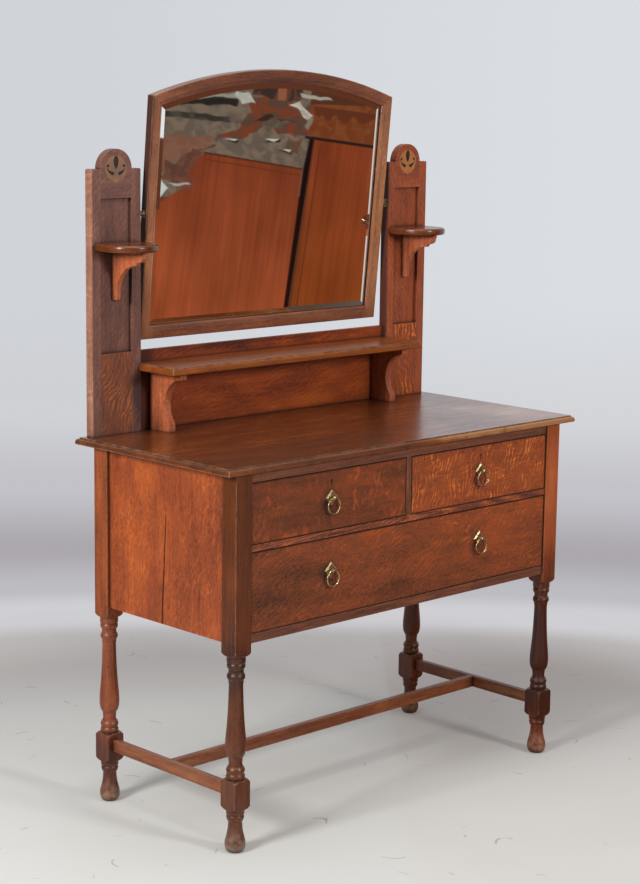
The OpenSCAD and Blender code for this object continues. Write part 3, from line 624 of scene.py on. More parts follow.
@dataclass(frozen=True)
class TarnishedBrass:
    """Cast brass, gone brown in the hollows and rubbed yellow where fingers reach.

    Attributes:
        name: Name of the finish.
        bright: Colour of rubbed metal.
        dull: Colour of tarnish.
        rough: Roughness of rubbed metal.
    """

    name: str
    bright: str
    dull: str
    rough: float

    def material(self) -> bpy.types.Material:
        """Builds the finish.

        Returns:
            The material.
        """
        material, tree = new_material(self.name)
        place = add(tree, "TexCoord").outputs["Object"]
        # Blotches of tarnish 6 to 8 mm wide
        patch = add(tree, "TexNoise", {
            "Vector": place, "Scale": noise_scale(7.692), "Detail": 4.0, "Roughness": 0.6,
        }).outputs["Fac"]
        tarnish = add(tree, "MapRange", {"Value": patch, 1: 0.47, 2: 0.72}).outputs[0]
        shade = add(tree, "AmbientOcclusion", {"Distance": 4 * MM}, samples=4).outputs["AO"]
        hollow = add(tree, "MapRange", {"Value": shade, 1: 0.4, 2: 0.95, 3: 0.9, 4: 0.0}).outputs[0]
        dull = add(tree, "Math", {0: tarnish, 1: hollow}, operation="MAXIMUM").outputs[0]
        colour = add(tree, "Mix", {0: dull, 6: linear(self.bright), 7: linear(self.dull)},
                     data_type="RGBA").outputs[2]
        rough = add(tree, "MapRange", {"Value": dull, 3: self.rough, 4: self.rough + 0.25}).outputs[0]
        rounded = add(tree, "Bevel", {"Radius": 0.5 * MM}, samples=4).outputs[0]
        surface = add(tree, "BsdfPrincipled", {
            "Base Color": colour, "Metallic": 1.0, "Roughness": rough, "Normal": rounded,
        }).outputs[0]
        add(tree, "OutputMaterial", {"Surface": surface})
        return material


@dataclass(frozen=True)
class SilveredGlass:
    """Plate glass silvered on its back: a clear reflection with a few specks of lost silver.

    Attributes:
        name: Name of the finish.
        silver: Colour of the reflection.
        lost: Colour where the silver has gone.
    """

    name: str = "silvered_plate_glass"
    silver: str = "EDEEEA"
    lost: str = "7A6A5A"

    def material(self) -> bpy.types.Material:
        """Builds the finish.

        Returns:
            The material.
        """
        material, tree = new_material(self.name)
        place = add(tree, "TexCoord").outputs["Object"]
        # Specks of 1 to 2 mm, some 60 mm apart
        cells = add(tree, "TexVoronoi", {"Vector": place, "Scale": noise_scale(62.5)}).outputs["Distance"]
        speck = add(tree, "MapRange", {"Value": cells, 1: 0.014, 2: 0.022, 3: 0.5, 4: 0.0}).outputs[0]
        colour = add(tree, "Mix", {0: speck, 6: linear(self.silver), 7: linear(self.lost)},
                     data_type="RGBA").outputs[2]
        surface = add(tree, "BsdfPrincipled", {
            "Base Color": colour, "Metallic": 1.0, "Roughness": 0.02,
        }).outputs[0]
        add(tree, "OutputMaterial", {"Surface": surface})
        return material


def dress_boards(plan: list[tuple[str, StainedOak, Grain]], first_seed: int) -> None:
    """Dresses CAD nodes in oak, each as a board of its own.

    Args:
        plan: Node, finish and direction of the grain of each.
        first_seed: Number of the first board.
    """
    for seed, (name, finish, grain) in enumerate(plan, first_seed):
        dress(frame["nodes"][name], finish.material(grain, seed))
        LOG.info("%s: %s", name, finish.name)


def pull_shade(ring_joint: str, tone: float) -> Patch:
    """Painted shadow round a pull, darkened further for what hands leave on the varnish.

    Args:
        ring_joint: Joint on which the pull's ring swings.
        tone: How dark it is, below 0.

    Returns:
        The area, its middle a little to the left of the joint and below it.
    """
    at = next(joint["pos_m"] for joint in frame["joints"] if joint["name"] == ring_joint)
    return Patch((at[0] - 5.75 * MM, FRONT_Y, at[2] - 8 * MM), (0.032, 0.1, 0.042), tone)


# Plain-sawn panel boards, planed: an even orange-brown with faint flecks, and a dark joint that has opened
SIDE_OAK = StainedOak(
    "side_oak", dark="491F0E", mid="8D4220", pale="AC5526", bright="CA6E2E",
    mottle=0.55, streaks=0.55, wear=0.3, rough=0.46, shine=0.35,
    rays=(Rays(9, 2.4, -20, Facing.SIDE, 0.2, patch=60, share=0.5),
          Rays(26, 7, 25, Facing.SIDE, 0.16, patch=90, share=0.5)),
    patches=(Patch((-0.4625, 0.055, 0.70), (0.1, 0.05, 0.06), 0.25),
             Patch((-0.4625, 0.08, 0.55), (0.1, 0.08, 0.2), 0.14),
             Patch((-0.4625, -0.17, 0.66), (0.1, 0.06, 0.12), -0.16),
             Patch((-0.4625, -0.09, 0.56), (0.1, 0.08, 0.16), -0.14)),
    crack=Crack((-0.0107, 0.64), (0.0015, 0.414)))
# The other side's boards: streakier and darker in the pores
RIGHT_SIDE_OAK = StainedOak(
    "right_side_oak", dark="52250F", mid="8A4624", pale="A6582B", bright="C47334",
    mottle=0.8, streaks=0.7, wear=0.3, rough=0.46,
    rays=(Rays(12, 3, 15, Facing.SIDE, 0.3, patch=70, share=0.5),))
# Quarter-sawn drawer fronts, planed and varnished: broad soft flakes on the left one
LEFT_FRONT = StainedOak(
    "dark_quarter_sawn_front", dark="3C1B12", mid="6B371C", pale="8B4221", bright="B75623",
    mottle=0.85, streaks=0.35, wear=0.35, rough=0.4, shine=0.38,
    rays=(Rays(26, 9, 8, Facing.FRONT, 0.3, patch=60, bend=18, share=0.5),
          Rays(9, 2.4, -10, Facing.FRONT, 0.2, patch=70, share=0.5)),
    patches=(Patch((-0.1, FRONT_Y, 0.66), (0.16, 0.1, 0.12), 0.1),
             pull_shade("ring_left_swing", -0.5)))
# Bright upright stripes and flakes on the right one, which takes the light
RIGHT_FRONT = StainedOak(
    "bright_quarter_sawn_front", dark="4C1F0F", mid="89411E", pale="A55025", bright="D77A35",
    mottle=0.6, streaks=0.3, wear=0.3, rough=0.4, shine=0.42,
    rays=(Rays(24, 3.5, 14, Facing.FRONT, 0.42, patch=40, bend=14, share=0.42, striped=True),
          Rays(12, 2.4, -14, Facing.FRONT, 0.22, patch=70, bend=10, share=0.4),
          Rays(30, 5, 78, Facing.FRONT, 0.2, patch=80, share=0.45)),
    patches=(Patch((0.12, FRONT_Y, 0.69), (0.14, 0.1, 0.05), 0.06),
             Patch((0.36, FRONT_Y, 0.66), (0.16, 0.1, 0.12), 0.08),
             pull_shade("ring_right_swing", -0.5)))
# Slanting stripes on the long one, darker to the left and along its foot
LONG_FRONT = StainedOak(
    "long_quarter_sawn_front", dark="3E2211", mid="7A3D20", pale="9B4921", bright="C76728",
    mottle=0.75, streaks=0.35, wear=0.35, rough=0.4, shine=0.38,
    rays=(Rays(30, 3.6, 58, Facing.FRONT, 0.24, patch=45, bend=18, share=0.36, striped=True),
          Rays(13, 2.4, 40, Facing.FRONT, 0.26, patch=60, bend=12, share=0.42)),
    patches=(Patch((0.26, FRONT_Y, 0.57), (0.32, 0.1, 0.1), 0.16),
             Patch((0.0, FRONT_Y, 0.45), (0.5, 0.1, 0.05), -0.12),
             Patch((-0.36, FRONT_Y, 0.5), (0.24, 0.1, 0.12), -0.2),
             pull_shade("ring_long_left_swing", -0.45),
             pull_shade("ring_long_right_swing", -0.45)))
# Narrow planed rails: streaked, with edges that drawers have rubbed pale
RAIL_OAK = StainedOak(
    "rail_oak", dark="3C2018", mid="6C3E2A", pale="854D32", bright="A0663D",
    mottle=0.7, streaks=1.3, wear=0.9, rough=0.38, edge_mm=2.4)
# The middle rail shows its growth rings as flames
FLAME_RAIL = StainedOak(
    "flame_figured_rail", dark="43201A", mid="783C25", pale="A2542E", bright="C4703A",
    mottle=0.8, streaks=0.9, figure=0.4, ring_mm=6, wear=0.5,
    rays=(Rays(12, 3, 55, Facing.FRONT, 0.3, patch=80, share=0.5),))
# Turned legs under glossy varnish: dark, rubbed pale on every bead, and scuffed at the feet
DARK_LEG = StainedOak(
    "dark_turned_leg_oak", dark="2D1307", mid="5F2F14", pale="773F1C", bright="945929",
    mottle=0.6, streaks=0.8, wear=0.9, dusty_mm=55, rough=0.3, edge_mm=2.8,
    patches=(Patch((-0.449, -0.2, 0.1), (0.3, 0.3, 0.34), -0.08),
             Patch((-0.449, -0.2, 0.36), (0.3, 0.3, 0.09), -0.3)))
# The back left one is warmer, and darker towards the foot
WARM_LEG = replace(
    DARK_LEG, name="warm_turned_leg_oak", dark="4B2110", mid="8D4827", pale="A95D33", bright="C37842",
    patches=(Patch((-0.449, 0.18, 0.14), (0.3, 0.3, 0.36), -0.14),
             Patch((-0.449, 0.18, 0.08), (0.3, 0.3, 0.12), -0.35)))
# The front right one is warm at its square top and dark where it is turned
RIGHT_LEG = replace(
    DARK_LEG, name="dark_ended_warm_leg_oak", dark="3B180B", mid="863E1E", pale="9C4E2A", bright="B8663A",
    patches=(Patch((0.449, -0.2, 0.2), (0.3, 0.3, 0.34), -0.56),
             Patch((0.449, -0.2, 0.03), (0.3, 0.3, 0.08), 0.2),
             Patch((0.449, -0.2, 0.62), (0.3, 0.3, 0.26), 0.4)))
# Planed stretchers, where shoes have rubbed the edges
STRETCHER_OAK = StainedOak(
    "stretcher_oak", dark="442317", mid="7C4326", pale="965D32", bright="B87949",
    mottle=0.8, wear=0.9, rough=0.34, edge_mm=2.4)
# The top is waxed: cloudy and glossy, with its moulded edge rubbed pale and a painted sheen on its right end,
# where it reflects the pale backdrop
TOP_OAK = StainedOak(
    "waxed_top_oak", dark="351707", mid="5F2D10", pale="743F18", bright="9A6A44",
    mottle=1.2, streaks=0.3, worn="BC9C78", wear=0.95, rough=0.26, coat=0.5, edge_mm=2.8,
    rays=(Rays(10, 2.6, 20, Facing.LEVEL, 0.12, patch=120, share=0.4),),
    # Painted sheen over the right end
    patches=(Patch((0.44, -0.12, 0.76), (0.2, 0.24, 0.1), 0.5),
             Patch((-0.44, 0.0, 0.76), (0.12, 0.3, 0.1), 0.1),
             Patch((0.3, -0.2387, 0.755), (0.4, 0.016, 0.03), 0.75)))
# The gallery shelf is wiped and waxed too, less thickly
SHELF_OAK = StainedOak(
    "gallery_shelf_oak", dark="441C05", mid="793C13", pale="934C1B", bright="AC6025",
    mottle=0.8, worn="BC9A72", wear=0.95, rough=0.26, coat=0.1, edge_mm=2.6,
    rays=(Rays(12, 2.8, 15, Facing.LEVEL, 0.15, share=0.4),),
    patches=(Patch((0.0, 0.0908, 0.8925), (3.0, 0.004, 0.03), 0.12),))
# Its back board is striped, with painted shade above the shelf and painted shadow at its left end behind the
# support, where little light comes
BACK_OAK = StainedOak(
    "gallery_back_oak", dark="491A08", mid="8D3C14", pale="AA511D", bright="C56625",
    mottle=0.8, streaks=0.6, wear=0.4, shine=0.35,
    rays=(Rays(26, 3.6, 70, Facing.FRONT, 0.2, patch=60, bend=14, share=0.4, striped=True),),
    patches=(Patch((0.15, 0.2, 0.78), (0.3, 0.1, 0.05), 0.18),
             # Painted shade above the shelf
             Patch((-0.1, 0.2, 0.93), (0.5, 0.1, 0.05), -0.4),
             # Painted shadow at the left end, behind the support
             Patch((-0.35, 0.2, 0.82), (0.05, 0.1, 0.2), -1.0)))
# Sawn supports and brackets, stained thinly, with painted shade on the right support
SUPPORT_OAK = StainedOak(
    "support_oak", dark="5C2B1A", mid="AB5A36", pale="C77047", bright="E78E5B", mottle=0.6, wear=0.9,
    rays=(Rays(10, 2.4, 10, Facing.SIDE, 0.22, patch=60, share=0.45),),
    # Painted shade on the right support
    patches=(Patch((0.33, 0.16, 0.83), (0.08, 0.2, 0.15), -0.1),))
# Planed uprights with long slanting stripes: the left one greyer, a painted sheen of the pale room that its
# front reflects, with painted light on its outer face and painted shade in the slot by the support
LEFT_UPRIGHT = StainedOak(
    "left_upright_oak", dark="3B241F", mid="6E463A", pale="895C4A", bright="B07E63",
    mottle=0.7, streaks=0.6, wear=0.75,
    rays=(Rays(40, 3.4, 38, Facing.FRONT, 0.16, patch=60, bend=8, share=0.4, striped=True),),
    # Painted light on the outer face, where the key light falls
    patches=(Patch((-0.478, 0.21, 1.05), (0.004, 3.0, 3.0), 0.36),
             # Painted shade in the narrow slot between the stile and the shelf's support
             Patch((-0.355, 0.21, 0.84), (0.03, 0.3, 0.09), -0.7)))
# Redder on the right, with painted shade on its inner face
RIGHT_UPRIGHT = StainedOak(
    "right_upright_oak", dark="502210", mid="974825", pale="B15C2E", bright="D17539",
    mottle=0.7, streaks=0.6, wear=0.75,
    rays=(Rays(40, 3.4, -34, Facing.FRONT, 0.16, patch=60, bend=8, share=0.4, striped=True),),
    # Painted shade on the inner face, which looks into the gap by the mirror frame
    patches=(Patch((0.355, 0.2, 1.1), (0.004, 3.0, 3.0), -0.9),
             Patch((0.417, 0.2, 1.25), (0.2, 0.3, 0.12), -0.1)))
# Their foot rails are cut for show: bold stripes, brown on the left and bright orange on the right
LEFT_FOOT = StainedOak(
    "left_flame_oak", dark="3C1C11", mid="6B3B26", pale="8B4B2D", bright="B86735",
    mottle=0.6, streaks=0.4, wear=0.4,
    rays=(Rays(60, 3.0, 28, Facing.FRONT, 0.42, patch=70, bend=16, share=0.5, striped=True),))
RIGHT_FOOT = StainedOak(
    "right_flame_oak", dark="4F1F0A", mid="8B401A", pale="AC5221", bright="E6762B",
    mottle=0.6, streaks=0.4, wear=0.4,
    rays=(Rays(70, 4.2, -24, Facing.FRONT, 0.5, patch=110, bend=18, share=0.5, striped=True),))
# Moulded swing frame, waxed: painted highlights on the broad faces of its stiles, painted shade on its left
# flank
FRAME_OAK = StainedOak(
    "mirror_frame_oak", dark="43241A", mid="7A4630", pale="96603F", bright="BE8258",
    mottle=0.7, streaks=0.6, wear=0.95, rough=0.28, coat=0.35, edge_mm=2.4,
    rays=(Rays(14, 2.6, 24, Facing.FRONT, 0.15, share=0.4),),
    # Painted shade on the left flank, in the narrow gap by the upright
    patches=(Patch((-0.34, 0.2, 1.15), (0.004, 3.0, 3.0), -1.2),
             # Painted highlights on the broad faces of both stiles
             Patch((-0.32, 0.2, 1.15), (0.03, 0.2, 0.5), 0.36),
             Patch((0.33, 0.2, 1.15), (0.04, 0.2, 0.5), 0.38),
             Patch((0.0, 0.2, 1.46), (0.42, 0.2, 0.1), -0.14)))
# Candle shelves: dark under old wax, with a wide pale rim
CANDLE_OAK = StainedOak(
    "candle_shelf_oak", dark="321305", mid="602E11", pale="763B18", bright="8D4E20",
    mottle=0.7, worn="D2B492", wear=1.0, rough=0.22, coat=0.2, edge_mm=3.2)
# The insides of the drawers were never stained: pale, dry and dull
INNER_OAK = StainedOak(
    "unfinished_drawer_oak", dark="8A6A45", mid="A98559", pale="B8966A", bright="C9AB80",
    wear=0.2, rough=0.62)
# Plain back boards, sawn and barely stained: dull, with their rings showing
BACK_BOARD = StainedOak(
    "plain_back_board", dark="4A3020", mid="654530", pale="74523A", bright="80604A",
    figure=0.2, wear=0.2, rough=0.6)
# Inlay, planed flush with the crests: pale wood gone golden, and black-stained leaves in it
PALE_INLAY = StainedOak(
    "pale_inlay", dark="6F5340", mid="AA682F", pale="B6753B", bright="BE8148",
    mottle=0.5, wear=0.0, rough=0.36,
    # Painted shade over the left inlay
    patches=(Patch((-0.4165, 0.2, 1.29), (0.05, 0.1, 0.05), -0.45),))
BLACK_INLAY = StainedOak(
    "black_inlay", dark="120D0B", mid="1D1715", pale="29211D", bright="302824", wear=0.0, rough=0.36)
# Cast pulls, yellow where fingers rub, and sheet locks painted near black for the shade inside the keyholes
PULL_BRASS = TarnishedBrass("rubbed_pull_brass", bright="CDB98A", dull="3E3220", rough=0.3)
LOCK_BRASS = TarnishedBrass("dull_lock_brass", bright="2C2418", dull="14100A", rough=0.5)


@dataclass(frozen=True)
class Bead:
    """Rounded ring that the lathe leaves on a leg.

    Attributes:
        outer: Its largest radius in mm.
        rise: How far it swells beyond its ends in mm.
        middle: Height of its middle above the floor in mm.
        height: How tall it is in mm.
    """

    outer: float
    rise: float
    middle: float
    height: float

    def cuts(self) -> list[float]:
        """Heights at which its section needs points, closer together towards its ends."""
        return [self.middle + self.height / 2 * math.sin(math.pi / 2 * step / 8) for step in range(-8, 9)]

    def radius(self, height: float) -> float:
        """Radius of its section, an arc of a circle, at a height.

        Args:
            height: Height above the floor in mm.

        Returns:
            The radius in mm, 0 above and below the bead.
        """
        section = (self.height ** 2 / 4 + self.rise ** 2) / (2 * self.rise)
        off = abs(height - self.middle)
        return self.outer - section + math.sqrt(section ** 2 - off ** 2) if off <= self.height / 2 else 0.0


@dataclass
class TurnedLeg:
    """One leg: square where it is joined, turned on the lathe in between.

    Where the radius of its profile passes the flat of the square stock, the leg keeps the flat, so the
    shoulders end in the curves that a turner's gouge leaves.

    Attributes:
        node: CAD node that it stands for.
        finish: Its finish.
        half: Half the stock in mm.
        eased: Radius of the stock's corners in mm.
        full: A radius in mm that lies outside the stock.
        top: Height of the leg in mm.
        shoulder: Radius in mm that a shoulder gains, and the height in mm over which it does.
        block: Lower and upper end of the low square block in mm.
        square: Lower end of the square top in mm.
        beads: Its beads.
    """

    node: str
    finish: StainedOak
    half: float = 20.5
    eased: float = 1.2
    full: float = 41.0
    top: float = 746.0
    shoulder: Flat = (11.29, 10.5)
    block: Flat = (97.0, 136.0)
    square: float = 402.0
    beads: tuple[Bead, ...] = (
        Bead(17.4, 1.8, 70.7, 10), Bead(18.4, 1.9, 152.5, 11.6), Bead(18.3, 1.8, 164.7, 11),
        Bead(17.8, 3, 351, 14), Bead(18.1, 1.9, 372.5, 10.6))

    @staticmethod
    def _arc(middle: Flat, reach: Flat, start: float, end: float) -> list[Flat]:
        """Points on an elliptical arc.

        Args:
            middle: Radius and height of its middle.
            reach: Its half axes.
            start: First angle in degrees.
            end: Last angle in degrees.

        Returns:
            The points.
        """
        parts = 14
        turns = [math.radians(start + (end - start) * step / parts) for step in range(parts + 1)]
        return [(middle[0] + reach[0] * math.cos(turn), middle[1] + reach[1] * math.sin(turn))
                for turn in turns]

    @staticmethod
    def _sweep(*ends: Flat) -> list[Flat]:
        """Points on a cubic Bezier curve.

        Args:
            ends: Its first point, its two handles and its last point.

        Returns:
            The points.
        """
        parts = 24
        points = []
        for step in range(parts + 1):
            way = step / parts
            back = 1 - way
            weights = (back ** 3, 3 * way * back ** 2, 3 * way * way * back, way ** 3)
            points.append((sum(weight * end[0] for weight, end in zip(weights, ends)),
                           sum(weight * end[1] for weight, end in zip(weights, ends))))
        return points

    def _profile(self) -> list[Flat]:
        """Draws the whole profile from the floor up, with its beads.

        Returns:
            Its points as radius and height in mm.
        """
        arc, sweep, full, shoulder = self._arc, self._sweep, self.full, self.shoulder
        # A round foot under a cone, up to the block
        foot = [*arc((11, 16), (9.4, 16), -90, 0), *sweep((20.4, 16), (20.4, 30), (13.9, 34), (13.7, 62)),
                (16.1, 65), (16.1, 76.5), (17.9, 77.5)]
        block = [*arc((17.9, self.block[0]), shoulder, -90, 0), (full, self.block[0]), (full, self.block[1]),
                 *arc((18.4, self.block[1]), shoulder, 0, 90), (16.7, 146.5), (16.7, 170.5), (15, 171.5)]
        # A vase: round below, drawn in to a slim neck above
        vase = [(13, 177.5), *arc((13, 213), (7.4, 22.5), -80, 0),
                *sweep((20.4, 213), (20.4, 240), (15.6, 246), (13.8, 335)),
                (14.8, 340), (14.8, 366), (16.5, 367), (16.5, 378), (18.4, 379)]
        square = [*arc((18.4, self.square), shoulder, -90, 0), (full, self.square), (full, self.top)]
        plain = foot + block + vase + square
        cuts = sorted(cut for bead in self.beads for cut in bead.cuts())
        # A cut nearer than this to a point of the profile, in mm, adds nothing
        near = 0.01
        points = [plain[0]]
        for (radius, low), (end, high) in zip(plain, plain[1:]):
            points += [(radius + (end - radius) * (cut - low) / (high - low), cut)
                       for cut in cuts if low + near < cut < high - near]
            points.append((end, high))
        return [(max([radius] + [bead.radius(height) for bead in self.beads]), height)
                for radius, height in points]

    def _stock(self, angle: float) -> float:
        """Distance from the axis to the face or the eased corner of the square stock.

        Args:
            angle: Direction in radians.

        Returns:
            The distance in mm.
        """
        turn = abs((angle + math.pi / 4) % (math.pi / 2) - math.pi / 4)
        corner = self.half - self.eased
        if self.half * math.tan(turn) <= corner:
            return self.half / math.cos(turn)
        along = corner * (math.cos(turn) + math.sin(turn))
        return along + math.sqrt(max(along ** 2 - 2 * corner ** 2 + self.eased ** 2, 0.0))

    def build(self, seed: int) -> None:
        """Turns the leg and puts it in its CAD node's place.

        Args:
            seed: Number of its piece of wood.
        """
        low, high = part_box(self.node)
        middle = ((low[0] + high[0]) / 2, (low[1] + high[1]) / 2)
        # Every 6 degrees, and four times round each corner of the stock
        degrees = [6 * step for step in range(60)]
        degrees += [45 + 90 * quarter + off for quarter in range(4) for off in (-2.4, -0.9, 0.9, 2.4)]
        angles = sorted(math.radians(angle) for angle in degrees)
        mesh = bmesh.new()
        rings: list[Ring] = []
        for radius, height in self._profile():
            rings.append([])
            for angle in angles:
                out = min(radius, self._stock(angle)) * MM
                corner = (middle[0] + out * math.cos(angle), middle[1] + out * math.sin(angle), height * MM)
                rings[-1].append(mesh.verts.new(corner))
        for first, second in zip(rings, rings[1:]):
            bridge(mesh, first, second)
        mesh.faces.new(list(reversed(rings[0])))
        mesh.faces.new(rings[-1])
        bmesh.ops.remove_doubles(mesh, verts=mesh.verts, dist=0.004 * MM)
        bmesh.ops.recalc_face_normals(mesh, faces=mesh.faces)
        piece = new_piece(f"turned_{self.node}", mesh, self.finish.material(Grain.UPRIGHT, seed), sharp=32.0)
        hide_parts(self.node)
        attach(piece, "carcass")
        LOG.info("%s: %s, %d rings", piece.name, self.finish.name, len(rings))


@dataclass
class Carcass:
    """Legs, stretchers, rails, panels and top board of the table.

    Attributes:
        first_seed: Number of its first board.
        first_leg_seed: Number of its first leg's wood.
    """

    first_seed: int = 1
    first_leg_seed: int = 90

    def build(self) -> None:
        """Turns the legs and dresses the fixed pieces of the table."""
        legs = (("front_left", DARK_LEG), ("front_right", RIGHT_LEG),
                ("back_left", WARM_LEG), ("back_right", DARK_LEG))
        for seed, (corner, finish) in enumerate(legs, self.first_leg_seed):
            TurnedLeg(f"leg_{corner}", finish).build(seed)
        dress_boards([
            ("side_stretchers", STRETCHER_OAK, Grain.DEEP), ("centre_stretcher", STRETCHER_OAK, Grain.ACROSS),
            ("side_panel_left", SIDE_OAK, Grain.UPRIGHT), ("side_panel_right", RIGHT_SIDE_OAK, Grain.UPRIGHT),
            ("carcass_back", BACK_BOARD, Grain.ACROSS), ("top_rail", RAIL_OAK, Grain.ACROSS),
            ("middle_rail", FLAME_RAIL, Grain.ACROSS), ("bottom_rail", RAIL_OAK, Grain.ACROSS),
            ("drawer_divider", RAIL_OAK, Grain.UPRIGHT), ("runners_upper", INNER_OAK, Grain.DEEP),
            ("runners_lower", INNER_OAK, Grain.DEEP), ("top_board", TOP_OAK, Grain.ACROSS),
        ], self.first_seed)


@dataclass
class Drawer:
    """One drawer with its front, sides, back and bottom.

    Attributes:
        name: Name of the drawer's body.
        front: Finish of its front.
        seed: Number of its front board.
    """

    name: str
    front: StainedOak
    seed: int

    def build(self) -> None:
        """Dresses the drawer's boards, with painted shade and soiling along the outline of its front."""
        node = f"{self.name}_front"
        rim = tuple(map(tuple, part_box(node)))
        dress(frame["nodes"][node], self.front.material(Grain.ACROSS, self.seed, rim))
        LOG.info("%s: %s", node, self.front.name)
        dress_boards([
            (f"{self.name}_sides", INNER_OAK, Grain.DEEP), (f"{self.name}_back", INNER_OAK, Grain.ACROSS),
            (f"{self.name}_bottom", INNER_OAK, Grain.ACROSS),
        ], self.seed + 1)


@dataclass
class Fittings:
    """Ring pulls, locks and swivels.

    Attributes:
        pulls: Nodes of cast and drawn brass.
        locks: Nodes of sheet brass.
    """

    pulls: tuple[str, ...] = (
        "pull_plate_left", "pull_plate_right", "pull_plates_long", "ring_left", "ring_right",
        "ring_long_left", "ring_long_right", "swivel_pins", "swivel_sockets")
    locks: tuple[str, ...] = ("lock_left", "lock_right")

    def build(self) -> None:
        """Dresses the metal pieces."""
        for finish, names in ((PULL_BRASS, self.pulls), (LOCK_BRASS, self.locks)):
            metal = finish.material()
            for name in names:
                dress(frame["nodes"][name], metal)
                LOG.info("%s: %s", name, finish.name)


@dataclass
class Gallery:
    """Uprights with their inlay, candle shelves, long shelf and supports.

    Attributes:
        first_seed: Number of its first board.
    """

    first_seed: int = 40

    def build(self) -> None:
        """Dresses the fixed pieces above the table."""
        plan: list[tuple[str, StainedOak, Grain]] = []
        for side, body, foot in (("left", LEFT_UPRIGHT, LEFT_FOOT), ("right", RIGHT_UPRIGHT, RIGHT_FOOT)):
            plan += [
                (f"upright_{side}_stiles", body, Grain.UPRIGHT),
                (f"upright_{side}_crest", body, Grain.ACROSS),
                (f"upright_{side}_panel", body, Grain.UPRIGHT),
                (f"upright_{side}_foot", foot, Grain.UPRIGHT),
                (f"candle_shelf_{side}", CANDLE_OAK, Grain.ACROSS),
            ]
        plan += [
            ("candle_brackets", SUPPORT_OAK, Grain.UPRIGHT), ("gallery_back", BACK_OAK, Grain.ACROSS),
            ("gallery_shelf", SHELF_OAK, Grain.ACROSS), ("gallery_supports", SUPPORT_OAK, Grain.UPRIGHT),
            ("inlay_ground", PALE_INLAY, Grain.UPRIGHT), ("inlay_leaves", BLACK_INLAY, Grain.UPRIGHT),
        ]
        dress_boards(plan, self.first_seed)


@dataclass
class SwingMirror:
    """Moulded frame, bevelled glass and backboard.

    Attributes:
        glass: Finish of the glass.
        first_seed: Number of its first board.
    """

    glass: SilveredGlass = SilveredGlass()
    first_seed: int = 70

    def build(self) -> None:
        """Dresses the mirror's pieces."""
        dress_boards([
            ("mirror_stiles", FRAME_OAK, Grain.UPRIGHT), ("mirror_foot_rail", FRAME_OAK, Grain.ACROSS),
            ("mirror_arch", FRAME_OAK, Grain.ACROSS), ("mirror_backboard", BACK_BOARD, Grain.ACROSS),
        ], self.first_seed)
        dress(frame["nodes"]["mirror_glass"], self.glass.material())
        LOG.info("mirror_glass: %s", self.glass.name)


@dataclass(frozen=True)
class Shape:
    """Flat painted shape on the reflected wall.

    Attributes:
        name: Name of the shape.
        colour: Its colour.
        corners: Its outline along and up the wall, in metres.
        layer: How many layers it stands in front of the wall.
        grained: Whether it has the vertical grain of a door.
        carved: How far its outline wanders in metres, as carving seen out of focus does.
        lower: Colour of its lower end, where it changes with height.
        second: Colour that it is mottled with.
        step: Length of the steps of a carved outline in metres.
        waves: How many times its outline wanders in a metre.
    """

    name: str
    colour: str
    corners: tuple[Flat, ...]
    layer: int = 1
    grained: bool = False
    carved: float = 0.0
    lower: str = ""
    second: str = ""
    step: float = 0.006
    waves: float = 22.0

    def outline(self) -> list[Flat]:
        """Cuts a carved outline into short steps, which wander in a fixed random way.

        Returns:
            The outline along and up the wall, in metres.
        """
        if not self.carved:
            return list(self.corners)
        points = []
        for (along, up), (far, high) in zip(self.corners, self.corners[1:] + self.corners[:1]):
            count = max(1, round(math.hypot(far - along, high - up) / self.step))
            for part in range(count):
                at, rise = along + (far - along) * part / count, up + (high - up) * part / count
                # Plain noise at two places far apart, since the vector noise is seeded by the clock
                places = [Vector((at * self.waves + away, rise * self.waves, self.layer))
                          for away in (0.0, 31.7)]
                aside, above = (noise.turbulence(place, 2, False) for place in places)
                points.append((at + aside * self.carved, rise + above * self.carved))
        return points


